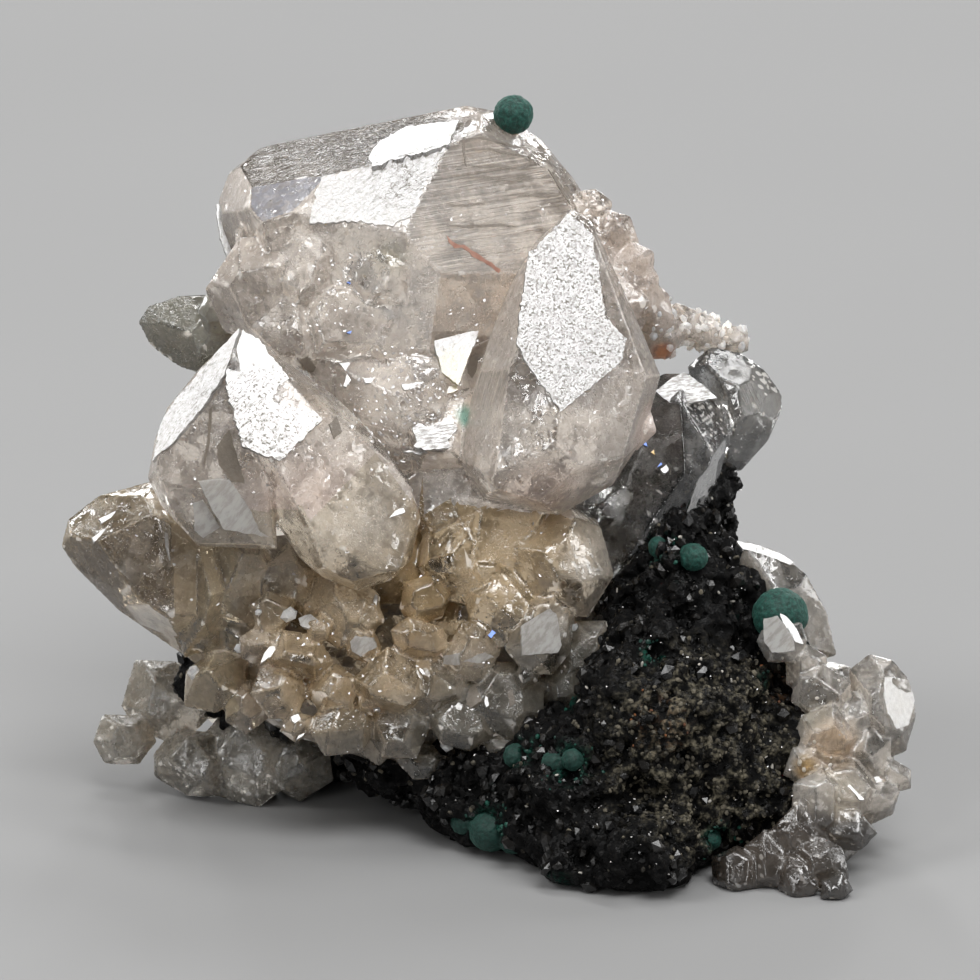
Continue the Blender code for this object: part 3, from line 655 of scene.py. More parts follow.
white_cerussite = glassy(
    "white_cerussite", (0.90, 0.88, 0.84), (0.53, 0.49, 0.44), (0.38, 0.58), (0.04, 0.16),
    ((0.90, 0.86, 0.80), 110), etch=0.5, ripple=0.6, rims=0.35,
    tints=[
        (10.0, 4.6, 2.0, 0.3, 1.2, 0.6, (0.66, 0.44, 0.24)),
        (9.2, 4.0, 2.0, 0.15, 0.5, 0.8, (0.52, 0.31, 0.08)),
        (9.4, 5.6, 2.4, 0.3, 0.9, 0.7, (0.30, 0.26, 0.19)),
        # Painted shade: the tip near the floor is darkened almost to black, here and in the next row.
        (10.0, 0.6, 0.9, 1.8, 3.0, 1.0, (0.060, 0.055, 0.050)),
        (7.8, 1.2, 1.5, 1.4, 2.6, 1.0, (0.060, 0.050, 0.042)),
        (10.2, 3.2, 2.0, 0.3, 1.2, 0.5, (0.60, 0.52, 0.40)),
    ],
    # More milk at the dark tip, which deepens the painted shade there.
    milky_places=[(9.2, 0.8, 1.2, 1.8, 2.8, 0.35)],
)
smoky_cerussite = glassy(
    "smoky_cerussite", (0.86, 0.83, 0.78), (0.36, 0.33, 0.28), (0.48, 0.66), (0.12, 0.28),
    ((0.82, 0.77, 0.68), 130), etch=0.2, ripple=0.6,
)
print("Nodes in the clear finish:", len(clear_cerussite.node_tree.nodes))

# %% [markdown]
# ## The main group
# The frame's solid already has every large crystal and every bud. Its edges are knife sharp, and real
# edges are worn and etched, so the copy is fused into a fine skin, rounded a little, and roughened
# where the mineral is lumpy or frosted. The large faces stay flat, because they carry the flashes.

# %% Main group of crystals
GROUP_VOXEL = 0.065
LARGE_PIECE_TRIANGLES = 190000

crystals = copy_node("cerussite_main_group", "cerussite_crystals")
skin(crystals, GROUP_VOXEL)
points = view_points(crystals)
low_crust = soft_step(-points[:, 1] - 0.12 * np.abs(points[:, 0] + 3), -12.4, -10.8)
milky_lumps = within(points, -5.0, 17.8, 3.6, 1.8, 3.0)
frosted = strongest(points, [
    (1, 4.2, 18.2, 5.2, 1.6, 2.2), (1, 6.2, 16.7, 7.0, 1.3, 2.0), (1, 3.2, 20.2, 5.6, 0.8, 1.3),
])
behind = soft_step(points[:, 2], 6.6, 7.6)
weigh(crystals, "soft", np.maximum.reduce([0.25 * low_crust, 0.9 * milky_lumps, frosted]))
weigh(crystals, "lumpy", np.maximum(0.8 * milky_lumps, 0.7 * behind))
weigh(crystals, "frost", frosted)
modify(crystals, "SMOOTH", factor=0.5, iterations=1)
modify(crystals, "SMOOTH", factor=0.5, iterations=9, vertex_group="soft")
relief(crystals, "lumpy", 0.6, 0.12)
relief(crystals, "frost", 0.16, 0.06)
thin_out(crystals, LARGE_PIECE_TRIANGLES)
faces = view_faces(crystals)
x, h, d = faces[:, 0], faces[:, 1], faces[:, 2]
crown = (h > 15.8) & (d > 2.6) & (x < 3.0)
honey = h + 0.12 * np.abs(x + 3) < 11.9
wedge = (x < -7.4) & (h < 12.6) & (d > 2.9)
dress(crystals, pale_cerussite, "pale_cerussite", "cerussite_main_group",
      others=[(crown_cerussite, crown), (honey_cerussite, honey), (brown_cerussite, wedge)])

# %% [markdown]
# ## The other crystals
# The clear pair, the group on the right shoulder and the low group at the left are made the same way,
# each with its own finish.

# %% Clear pair, right group, left group
CRYSTAL_VOXEL = 0.06

pair = copy_node("cerussite_clear_pair", "clear_crystal_pair")
skin(pair, CRYSTAL_VOXEL)
modify(pair, "SMOOTH", factor=0.5, iterations=3)
thin_out(pair, 60000)
dress(pair, clear_cerussite, "clear_cerussite", "cerussite_clear_pair")

shoulder = copy_node("cerussite_right_group", "shoulder_crystals")
skin(shoulder, CRYSTAL_VOXEL)
points = view_points(shoulder)
weigh(shoulder, "rough", soft_step(-points[:, 1], -7.6, -6.8))
modify(shoulder, "SMOOTH", factor=0.5, iterations=5)
relief(shoulder, "rough", 0.45, 0.07)
thin_out(shoulder, 110000)
dress(shoulder, white_cerussite, "white_cerussite", "cerussite_right_group")

low_group = copy_node("cerussite_left_group", "low_smoky_crystals")
skin(low_group, CRYSTAL_VOXEL)
modify(low_group, "SMOOTH", factor=0.5, iterations=6)
relief(low_group, None, 0.7, 0.12)
thin_out(low_group, 80000)
dress(low_group, smoky_cerussite, "smoky_cerussite", "cerussite_left_group")

# %% [markdown]
# ## Thin slabs with ragged outlines
# The faces that flash, the pale and dark facets and the fine growth lines are all thin closed slabs.
# A circle's points are moved to the outline, which is drawn on the picture and jittered, because a
# broken or etched edge is never straight. The face is then extruded away from the viewer. A slab that
# has to flash lies on a plane that mirrors a lamp into the camera. Where the solid's own face is
# turned a little differently, the slab stands off it by some tenths of a millimetre.


# %% Slabs
OUTLINE_PITCH = 0.09


def ragged(corners, pitch, depth, seed):
    """The outline's points about pitch mm apart, pushed in and out by up to depth mm."""
    spots = [Vector((*pixel(u, v), 0)) for u, v in corners]
    outline = []
    for start, end in zip(spots, spots[1:] + spots[:1]):
        count = max(1, round((end - start).length / pitch))
        for step in range(count):
            point = start.lerp(end, step / count)
            push = noise.fractal(point * 4 + Vector((0, 0, seed)), 0.6, 2.2, 4) * depth
            side = (end - start).normalized().cross(Vector((0, 0, 1)))
            outline.append(point + side * push)
    return outline


def slab(name, corners, foot, outward, proud=0.03, thick=0.14, depth=0.10, seed=0):
    """A flat closed slab. Its ragged outline is drawn in the picture and laid on the plane through foot."""
    outline = ragged(corners, OUTLINE_PITCH, depth, seed)
    across, away_from, up = TILT.inverted() @ outward
    x0, d0, h0 = (TILT.inverted() @ (foot - STAND)) / MM
    bpy.ops.object.select_all(action="DESELECT")
    bpy.ops.mesh.primitive_circle_add(vertices=len(outline), radius=MM, fill_type="NGON")
    made = bpy.context.active_object
    made.name = name
    for vertex, point in zip(made.data.vertices, outline):
        deep = d0 - (across * (point.x - x0) + up * (point.y - h0)) / away_from
        vertex.co = place(point.x, point.y, deep) + outward * proud * MM
    bpy.ops.object.mode_set(mode="EDIT")
    bpy.ops.mesh.select_all(action="SELECT")
    bpy.ops.mesh.extrude_region_move(TRANSFORM_OT_translate={"value": -outward * thick * MM})
    bpy.ops.mesh.select_all(action="SELECT")
    bpy.ops.mesh.normals_make_consistent(inside=False)
    bpy.ops.object.mode_set(mode="OBJECT")
    return made


def plateau(name, corners, foot, turn, lift, **settings):
    """A slab on the plane through a place of the view that faces turn and lift."""
    return slab(name, corners, place(*foot), heading(turn, lift), **settings)


# %% [markdown]
# ## Facets that lie on a crystal
# A small facet has no place of its own. It lies where the line of sight through the middle of its
# corners first meets a crystal. It takes the direction of the skin there, or one that it is given, so
# that it mirrors a lamp into the camera.


# %% Facets
BEFORE_ALL = -30


def middle_of(corners):
    """The pixel in the middle of the corners, as two numbers."""
    return [sum(values) / len(corners) for values in zip(*corners)]


def host_at(corners):
    """The crystal body that the picture shows at the middle of the corners."""
    u, v = middle_of(corners)
    found = []
    for body in (crystals, pair, shoulder, low_group):
        hit, spot, normal, index = body.ray_cast(seen(u, v, BEFORE_ALL), away)
        if hit:
            found.append(((spot - camera.location).length, body))
    return min(found, key=lambda hit_body: hit_body[0])[1] if found else crystals


def facet(corners, host, aim=None, **settings):
    """A slab on the host's skin where the picture shows it. With an aim it faces that turn and lift."""
    u, v = middle_of(corners)
    hit, spot, normal, index = host.ray_cast(seen(u, v, BEFORE_ALL), away)
    if not hit:
        print("No skin behind pixel", u, v)
    settings.setdefault("depth", 0.03)
    settings.setdefault("seed", round(u))
    outward = heading(*aim) if aim else normal
    if outward.dot(away) > -0.6:
        print("A steep skin at pixel", round(u), round(v), "so its facet is turned to the front")
        outward = (outward - away * 0.8).normalized()
    return slab("facet", corners, spot, outward, **settings)


def facets(rows, aim=None, proud=0.03, thick=0.14):
    """A facet for each row of corners, on whatever crystal the picture shows there."""
    return [facet(corners, host_at(corners), aim, proud=proud, thick=thick) for corners in rows]


def join(name, parts):
    """Makes several objects one."""
    only(*parts)
    bpy.ops.object.join()
    parts[0].name = name
    return parts[0]


# %% [markdown]
# ## The large faces that flash
# Six large faces flash white in the picture. The top face bends, so it is two slabs.

# %% Large bright faces
TOP_FACE = [
    (310, 225), (314, 206), (321, 179), (345, 173), (371, 166), (402, 157), (449, 144),
    (445, 153), (426, 185), (416, 215), (394, 227), (349, 223),
]
TOP_FACE_UPPER = [(373, 169), (369, 160), (378, 144), (407, 128), (458, 121), (449, 147), (402, 160)]
RIGHT_FACE = [
    (568, 215), (590, 235), (597, 270), (605, 320), (625, 340), (622, 360), (600, 380), (560, 412),
    (530, 370), (516, 345), (526, 270), (530, 255), (548, 236),
]
BLADE_SIDE = [
    (242, 330), (210, 364), (178, 401), (164, 424), (156, 462), (162, 456), (176, 444), (210, 403),
    (227, 376), (234, 357),
]
BLADE_FRONT = [
    (245, 331), (263, 342), (290, 379), (279, 391), (274, 401), (280, 405), (316, 413), (324, 420),
    (282, 462), (246, 447), (231, 396), (229, 376),
]
HATCHED_STEP = [(413, 430), (432, 425), (458, 423), (456, 436), (444, 449), (418, 449)]
GLOWING_FACE = [(431, 332), (479, 332), (458, 386), (442, 373)]

etched = join("etched_bright_faces", [
    plateau("face", TOP_FACE, (-2.2, 20.2, 3.2), 3, 24, seed=1),
    plateau("face", TOP_FACE_UPPER, (-3.09, 22.06, 4.73), -26, 65, seed=7, depth=0.06),
    plateau("face", RIGHT_FACE, (2.1, 14.4, 0.6), 14, 18, seed=2, depth=0.06),
    plateau("face", BLADE_SIDE, (-8.4, 14.7, 1.1), -28, 22, seed=3, depth=0.03),
    plateau("face", BLADE_FRONT, (-6.2, 12.9, 0.4), 8, 20, seed=4, depth=0.08),
    plateau("face", HATCHED_STEP, (-1.62, 13.62, 2.85), 5, 22, seed=5, depth=0.16),
    plateau("face", GLOWING_FACE, (-1.03, 16.03, 3.6), 14, 20, seed=6, depth=0.04),
])
print("Faces in the large slabs:", len(etched.data.polygons))

# %% [markdown]
# ## Small flashes
# Many small facets flash as well. They are turned half way between the camera and the key softbox,
# where a flat face mirrors the lamp, and joined with the large faces.

# %% Small bright facets
FLASH = (8.5, 21)
BRIGHT_FACETS = [
    [(778, 613), (785, 616), (796, 631), (801, 643), (794, 641), (782, 627)],
    [(836, 774), (841, 777), (861, 797), (856, 797)],
    [(866, 766), (872, 768), (882, 784), (875, 784)],
    [(691, 366), (696, 359), (699, 361), (694, 368)],
    [(747, 361), (753, 360), (753, 364), (748, 365)],
    [(373, 606), (376, 594), (378, 595), (377, 607)],
    [(292, 716), (299, 713), (302, 718), (296, 722)],
    [(301, 731), (307, 729), (304, 735), (298, 738)],
    [(266, 652), (284, 632), (287, 636), (272, 656), (262, 662)],
    [(420, 667), (426, 672), (423, 674), (419, 669)],
    [(373, 706), (380, 703), (381, 709), (375, 710)],
    [(340, 364), (350, 363), (354, 376), (347, 388), (344, 387), (348, 374)],
    [(364, 380), (376, 378), (377, 383), (366, 384)],
    [(402, 385), (422, 383), (424, 387), (404, 391)],
    [(440, 390), (456, 386), (458, 391), (443, 396)],
    [(404, 452), (430, 449), (445, 451), (420, 455)],
    [(388, 514), (404, 508), (406, 512), (390, 518)],
    [(216, 205), (221, 203), (226, 228), (232, 256), (228, 260), (219, 235)],
    [(484, 700), (487, 690), (489, 704), (486, 706)],
    [(100, 519), (124, 508), (126, 511), (103, 523)],
    [(94, 538), (108, 528), (110, 531), (96, 542)],
    [(164, 513), (168, 520), (172, 560), (168, 545)],
    [(655, 392), (672, 378), (684, 373), (700, 384), (716, 398), (690, 404), (668, 403)],
    [(660, 470), (668, 463), (672, 466), (664, 474)],
    [(736, 541), (760, 546), (778, 553), (793, 562), (789, 565), (770, 557), (742, 549)],
]
etched = join("etched_bright_faces", [etched] + facets(BRIGHT_FACETS, FLASH))
print("Faces with the small ones:", len(etched.data.polygons))

# %% [markdown]
# ## Pale, dark and coloured facets
# Other facets are only a shade lighter or darker than the crystal round them, and a few show blue or
# gold fire. The end crystal's face is turned to mirror the lamp at the right.

# %% Pale, shaded and fire facets
# Painted soft highlight: these facets are painted lighter than the crystal round them.
PALE_FACETS = [
    [(202, 482), (222, 479), (232, 480), (251, 507), (262, 531), (272, 537), (226, 529), (214, 508)],
    [(520, 625), (552, 606), (556, 612), (561, 644), (557, 652), (522, 654)],
    [(463, 660), (485, 651), (494, 656), (480, 662)],
    [(351, 640), (356, 635), (374, 637), (377, 646), (362, 655), (354, 650)],
    [(444, 655), (459, 652), (459, 664), (444, 663)],
    [(762, 618), (776, 615), (790, 634), (793, 650), (770, 652), (762, 640)],
    [(300, 618), (312, 614), (320, 620), (310, 628), (302, 625)],
    [(196, 503), (206, 500), (222, 526), (206, 537), (197, 530)],
]
RIGHT_LAMP_FLASH = (50, 14)
END_FACE = [(881, 676), (905, 678), (911, 700), (905, 724), (893, 728), (884, 712), (880, 695)]
end_facet = facet(END_FACE, shoulder, RIGHT_LAMP_FLASH, proud=0.05, thick=0.16)
pale = join("pale_facets", facets(PALE_FACETS) + [end_facet])
# Painted shade: these facets are dark slabs laid where the crystal is in shade.
SHADE_FACETS = [
    [(219, 447), (232, 430), (239, 455), (247, 483), (234, 482), (222, 465)],
    [(300, 360), (308, 357), (318, 371), (308, 373)],
    [(465, 692), (476, 683), (482, 700), (470, 708)],
    [(478, 337), (486, 334), (476, 370), (465, 395), (462, 390), (470, 358)],
    [(330, 425), (338, 417), (343, 432), (335, 440)],
    [(212, 410), (215, 407), (213, 440), (207, 468), (206, 462), (210, 440)],
    [(508, 690), (513, 688), (514, 703), (510, 706)],
]
shade = join("shaded_facets", facets(SHADE_FACETS, thick=0.15))
FIRE_FACETS = [
    [(488, 635), (494, 625), (498, 630), (491, 638)],
    [(347, 284), (351, 282), (351, 286)],
    [(347, 334), (352, 332), (351, 335)],
    [(642, 445), (645, 442), (647, 447)],
    [(650, 453), (653, 450), (654, 456)],
    [(656, 468), (660, 463), (662, 465)],
]
fire = join("fire_facets", facets(FIRE_FACETS, FLASH, proud=0.05, thick=0.1))
print("Facets:", len(PALE_FACETS) + 1, "pale,", len(SHADE_FACETS), "shaded,", len(FIRE_FACETS), "fire")

# %% [markdown]
# ## Fine lines on the striped face
# Low ledges run across the right face of the top block, and a rusty crack crosses it low down. Each is
# a slab again, whose outline runs along one side of the line and back along the other.


# %% Growth ledges and crack
def stroke(points, width):
    """The outline of a thin line that runs through points of the picture, pointed at both ends."""
    left, right = [], []
    for (u0, v0), (u1, v1), (u2, v2) in zip(points, points[1:], points[2:]):
        along = Vector((u2 - u0, v2 - v0, 0)).normalized() * width / 2
        left.append((u1 - along.y, v1 + along.x))
        right.append((u1 + along.y, v1 - along.x))
    return [points[0]] + left + [points[-1]] + right[::-1]


LEDGE_WIDTH = 2.4
LEDGES = [
    [(462, 166), (480, 168), (500, 167), (522, 170), (546, 168)],
    [(466, 168), (464, 155), (463, 142), (464, 138)],
    [(464, 140), (480, 139), (498, 142), (512, 147), (530, 149)],
    [(470, 152), (490, 150), (510, 155), (532, 158)],
    [(455, 180), (480, 178), (510, 181), (552, 178)],
    [(520, 171), (528, 166), (531, 160), (527, 157)],
    [(498, 197), (525, 195), (548, 198), (560, 196)],
    [(446, 206), (462, 207), (480, 205), (486, 206)],
    [(440, 226), (470, 228), (500, 226), (520, 228)],
    [(548, 170), (556, 180), (562, 192), (570, 205)],
]
STRIPED_FACE = ((-2.2, 20.2, 3.2), 23, 13)
LEDGE = {"proud": 0.03, "thick": 0.06, "depth": 0.015}
ledges = join("growth_ledges", [
    plateau("ledge", stroke(points, LEDGE_WIDTH), *STRIPED_FACE, seed=number, **LEDGE)
    for number, points in enumerate(LEDGES)
])
CRACK = [
    (447, 237), (452, 243), (458, 246), (464, 246), (476, 254), (489, 262), (501, 271),
    (499, 274), (486, 265), (473, 257), (462, 249), (455, 249), (449, 243),
]
crack = plateau("rusty_crack", CRACK, *STRIPED_FACE, proud=0.012, thick=0.05, depth=0.03, seed=9)
print("Ledges:", len(LEDGES))

# %% [markdown]
# ## Finishes of the facets
# The crack is stained by rust. The pale and the shaded facets are cerussite again, with painted colours:
# the pale ones are a painted soft highlight and the shaded ones painted shade. The fire facets have a
# dark metallic colour, which tints the lamp that they mirror.

# %% Facet finishes
stain = Recipe("rusty_crack")
stain_shader = stain.principled({
    "Base Color": stain.blend(stain.noise(0.15, 3), (0.25, 0.08, 0.05), (0.55, 0.34, 0.26)),
    "Roughness": 0.5,
})
dress(crack, stain.finish(stain_shader), "pale_cerussite")

even = Recipe("pale_facet")
even_fine = even.noise(0.22, 4, 0.7, stretch=(3, 1, 1), turn=axis(1, 1.2, 0))
even_shader = even.principled({
    "Base Color": even.blend(even.step(even_fine, 0.40, 0.60), (0.58, 0.55, 0.51), (0.80, 0.77, 0.73)),
    "Roughness": even.step(even_fine, 0.3, 0.7, 0.08, 0.20),
    "IOR": CERUSSITE_IOR,
    "Transmission Weight": 0.45,
    "Subsurface Weight": 0.5,
    "Subsurface Radius": (1.0, 0.9, 0.8),
    "Subsurface Scale": 0.6 * MM,
    "Normal": even.bump(even_fine * 0.006),
})
dress(pale, even.finish(even_shader), "pale_cerussite")
dim = Recipe("shaded_facet")
dim_fine = dim.noise(0.15, 4, 0.7)
dim_shader = dim.principled({
    "Base Color": dim.blend(dim_fine, (0.18, 0.15, 0.12), (0.40, 0.35, 0.29)),
    "Roughness": 0.15,
    "IOR": CERUSSITE_IOR,
    "Transmission Weight": 0.4,
    "Normal": dim.bump(dim_fine * 0.02),
})
dim_finish = dim.finish(dim_shader)
dress(shade, dim_finish, "pale_cerussite")
dress(ledges, dim_finish, "pale_cerussite")
flare = Recipe("fire_facet")
flare_blue = flare.blend(flare.noise(1.0, 1), (0.05, 0.07, 0.14), (0.04, 0.06, 0.14))
flare_colour = tint_places(flare, flare_blue, [
    (1.0, 10.6, 3.2, 1.6, 2.0, 1.0, (0.14, 0.10, 0.03)),
    (4.85, 13.15, 4.2, 0.1, 0.3, 1.0, (0.14, 0.10, 0.05)),
    (4.4, 13.35, 4.2, 0.1, 0.22, 1.0, (0.12, 0.06, 0.13)),
])
flare_shader = flare.principled({"Base Color": flare_colour, "Roughness": 0.15, "Metallic": 1.0})
dress(fire, flare.finish(flare_shader), "pale_cerussite")
print("Facet finishes:", stain.material.name, even.material.name, dim.material.name, flare.material.name)

# %% [markdown]
# ## The etched finish
# Weathering has eaten small pits and grooves into the bright faces. They differ from face
# to face: worm lines on the top, pepper on the right face, streaks on the left blade's side, combs on
# the hatched step. One recipe has them all and places each with a soft ball. One mask mixes a dark
# dull shader into the bright one, so the pits, specks and lines are painted dark, as painted shade.

# %% Etched cerussite
bright = Recipe("etched_cerussite")
pits = bright.noise(0.07, 1, 0.6)
patches = bright.noise(0.7, 4, 0.7)
crumbs = bright.noise(0.16, 4, 0.7)
streaks = bright.noise(0.045, 3, 0.6, stretch=(9, 1, 1), turn=axis(1, 0.9, 0.3))
combs = bright.noise(0.05, 2, 0.6, stretch=(12, 1, 1), turn=axis(1, 0.25, 0))
worms = bright.noise(0.30, 3, 0.6)
worm_lines = bright.step(worms, 0.480, 0.495) * bright.step(worms, 0.520, 0.505)
upper_part = bright.near(place(-2.2, 21.9, 4.2), 1.4, 2.9)
peppered = bright.near(place(2.3, 17.3, 1.6), 2.9, 3.6)
specked = bright.near(place(-6.2, 13.6, 0.6), 2.0, 2.4)
dirty = bright.near(place(-6.6, 13.0, 0.6), 0.6, 1.5)
sided = bright.near(place(-8.9, 14.2, 1.2), 2.2, 2.6)
combed = bright.near(place(-1.6, 13.6, 2.9), 1.1, 1.4) + bright.near(place(5.7, 15.2, 4.2), 1.2, 1.6)
# Painted shade: the dark dull shader goes into the pits, streaks, combs and worm lines.
etch_shade = bright.step(pits, 0.49, 0.43) * (peppered * 0.68 + 0.18)
etch_shade = etch_shade * bright.step(crumbs, 0.35, 0.60, 0.2, 1.0)
etch_shade = etch_shade + bright.step(streaks, 0.46, 0.38) * (sided * 0.6 + upper_part * 0.4 + 0.06)
etch_shade = etch_shade + bright.step(combs, 0.52, 0.42) * combed * 0.65
worm_lines = worm_lines * (upper_part * 0.9 + 0.15)
etch_shade = etch_shade + worm_lines * bright.step(patches, 0.44, 0.54, 0.1, 1.0)
etch_shade = etch_shade + bright.step(crumbs, 0.38, 0.30) * 0.8
etch_shade = etch_shade + bright.step(pits, 0.41, 0.35) * specked * 0.7
etch_shade = etch_shade + bright.step(crumbs, 0.50, 0.42) * dirty * 0.5
relief_map = bright.bump((pits + streaks + crumbs) * 0.005)
face_colour = bright.blend(bright.step(crumbs, 0.4, 0.6), (0.62, 0.60, 0.57), (0.78, 0.76, 0.74))
face_colour = tint_places(bright, face_colour, [
    (-6.2, 12.9, 0.4, 2.0, 2.4, 0.7, (0.66, 0.64, 0.58)),
    # Painted warm glow on the glowing face.
    (-1.0, 15.4, 3.6, 0.4, 1.1, 0.9, (0.95, 0.84, 0.52)),
])
face_shader = bright.principled({
    "Base Color": face_colour,
    "Roughness": bright.step(patches, 0.35, 0.7, 0.05, 0.15),
    "IOR": 2.0,
    "Transmission Weight": 0.5,
    "Subsurface Weight": 0.4,
    "Subsurface Radius": (1.0, 0.9, 0.8),
    "Subsurface Scale": 0.8 * MM,
    "Normal": relief_map,
})
etch_shade_shader = bright.principled({
    "Base Color": (0.14, 0.125, 0.105, 1),
    "Roughness": 0.7,
    "IOR": 1.3,
    "Normal": relief_map,
})
bright_shader = bright.add("ShaderNodeMixShader", {}, {0: etch_shade, 1: face_shader, 2: etch_shade_shader})
dress(etched, bright.finish(bright_shader), "pale_cerussite")
print("Etched faces:", len(etched.data.polygons))

# %% [markdown]
# ## The rock
# Gossan is iron oxide that the weather has eaten: black, brown and rusty, full of small holes. The
# frame's lump is remeshed finely and pushed in and out at four sizes, from the lumps one sees at once
# to the grit one only feels. Near the floor it stays flat, because the specimen stands on it.

# %% Gossan shape
COARSE_ROCK_VOXEL = 0.11
FINE_ROCK_VOXEL = 0.10
FLAT_FOOT = 0.7 * MM


def heights(piece):
    """How high each vertex is above the floor, in metres."""
    return np.array([vertex.co.z for vertex in piece.data.vertices])


rock = copy_node("gossan_matrix", "gossan_rock")
skin(rock, COARSE_ROCK_VOXEL)
weigh(rock, "free", heights(rock) / FLAT_FOOT)
relief(rock, "free", 1.3, -1.1, creased=True, middle=0.35)
relief(rock, "free", 0.9, 0.85, "VORONOI")
relief(rock, "free", 0.32, 0.45, "VORONOI")
skin(rock, FINE_ROCK_VOXEL)
weigh(rock, "gritty", heights(rock) / FLAT_FOOT)
relief(rock, "gritty", 0.22, 0.22)
thin_out(rock, LARGE_PIECE_TRIANGLES)

# %% [markdown]
# ## The finish of the rock
# The rock is nearly black, with a brown zone at the right, where the iron has turned to earth, and
# one at the back. There are a few rusty and green films. Hollows are painted darker still, as painted
# shade.

# %% Gossan finish
# x, h, d, the inner and the outer reach, in mm
BROWN_PLACES = [(6.3, 4.4, 1.6, 1.8, 4.0), (1.0, 6.0, 15.0, 1.5, 5.0)]
# x, h, d, how far the green film reaches and how far the green grains do
GREEN_PLACES = [
    (0.9, 4.4, 2.4, 0.7, 0.8), (2.3, 4.1, 1.2, 0.9, 1.1), (4.7, 7.2, 1.9, 0.5, 0.6),
    (7.8, 6.4, 3.1, 0.5, 0.6), (6.6, 1.9, 1.9, 0.7, 0.8), (2.1, 0.9, 1.2, 0.6, 0.7),
    (2.3, 6.0, 3.0, 0.5, 0.6), (0.0, 2.2, 3.0, 1.0, 1.2), (5.3, 10.2, 3.9, 0.7, 0.8),
    (7.3, 10.4, 4.0, 0.5, 0.6),
]
rust = Recipe("gossan")
# Painted shade: this mask falls to 0 where the skin bends inward, and there the colour goes almost black.
hollow_shade = rust.step(rust.add("ShaderNodeNewGeometry", output="Pointiness"), 0.46, 0.54)
blotch = rust.noise(0.9, 4, 0.65)
speck = rust.noise(0.14, 3, 0.6)
grit = rust.noise(0.05, 2, 0.5)
brown_front, brown_back = [rust.near(place(x, h, d), *reach) for x, h, d, *reach in BROWN_PLACES]
brown_zone = (brown_front + brown_back) * rust.step(blotch, 0.38, 0.52)
earthy = rust.blend(rust.step(speck, 0.36, 0.66), (0.006, 0.0055, 0.004), (0.185, 0.165, 0.118))
crumbs = rust.noise(0.35, 3, 0.6)
earthy = rust.blend(rust.step(crumbs, 0.54, 0.40), earthy, (0.004, 0.0035, 0.003))
dark = rust.blend(rust.step(speck, 0.45, 0.7), (0.001, 0.001, 0.0012), (0.010, 0.009, 0.008))
rock_colour = rust.blend(brown_zone, dark, earthy)
rust_mask = rust.near(place(5.0, 5.2, 0.8), 0.3, 1.2) * rust.step(speck, 0.45, 0.6)
rust_mask = rust_mask + rust.near(place(8.3, 6.2, 3.4), 0.2, 0.8) * rust.step(speck, 0.45, 0.6)
rock_colour = rust.blend(rust_mask * 0.35, rock_colour, (0.14, 0.060, 0.018))
for x, h, d, reach, grain_reach in GREEN_PLACES:
    film = rust.near(place(x, h, d), 0.2, reach) * rust.step(speck, 0.42, 0.55)
    rock_colour = rust.blend(film * 0.85, rock_colour, (0.005, 0.055, 0.038))
rock_colour = rust.blend(hollow_shade, (0.001, 0.001, 0.001), rock_colour)
rock_rough = rust.step(rust.patch(0.16), 0.35, 0.60, 0.22, 0.85)
rust_shader = rust.principled({
    "Base Color": rock_colour, "Roughness": rock_rough, "IOR": 1.27,
    "Normal": rust.bump((speck + grit) * 0.03 + rust.mosaic(0.13, 0.9)),
})
dress(rock, rust.finish(rust_shader), "gossan", "gossan_matrix")
print("Places with a green film:", len(GREEN_PLACES))

# %% [markdown]
# ## One angular chip
# Hundreds of small grains sit on the rock and the crust. They are copies of a few chips. A chip is a
# rough ball that is cut by planes, so it is angular and has only a few dozen faces.


# %% Chips
def chip(name, seed, stretch, cuts=5):
    """A closed angular grain about 1 mm in radius, with a few dozen faces."""
    chance = random.Random(seed)
    bpy.ops.object.select_all(action="DESELECT")
    bpy.ops.mesh.primitive_ico_sphere_add(subdivisions=1, radius=MM)
    grain = bpy.context.active_object
    grain.name = name
    grain.scale = stretch
    settle(grain)
    bpy.ops.object.mode_set(mode="EDIT")
    for cut in range(cuts):
        way = Vector([chance.uniform(-1, 1) for side in range(3)]).normalized()
        reach = sum(abs(way[side]) * stretch[side] for side in range(3)) * 0.55 * MM
        bpy.ops.mesh.select_all(action="SELECT")
        bpy.ops.mesh.bisect(plane_co=way * reach, plane_no=way, use_fill=True, clear_outer=True)
    bpy.ops.mesh.select_all(action="SELECT")
    bpy.ops.mesh.normals_make_consistent(inside=False)
    bpy.ops.object.mode_set(mode="OBJECT")
    return grain


# %% [markdown]
# ## Strewing
# A small node network strews copies of a chip over the host's surface, turns each copy its own way, and
# makes them real geometry, which the modifier then leaves behind as a mesh. The network is built with
# the same method as a material.


# %% Strewing tool
class Strewing(Recipe):
    """A geometry network. It shares the recipe's way of adding nodes."""

    def __init__(self, name):
        self.tree = bpy.data.node_groups.new(name, "GeometryNodeTree")
        self.tree.interface.new_socket("Geometry", in_out="INPUT", socket_type="NodeSocketGeometry")
        self.tree.interface.new_socket("Geometry", in_out="OUTPUT", socket_type="NodeSocketGeometry")


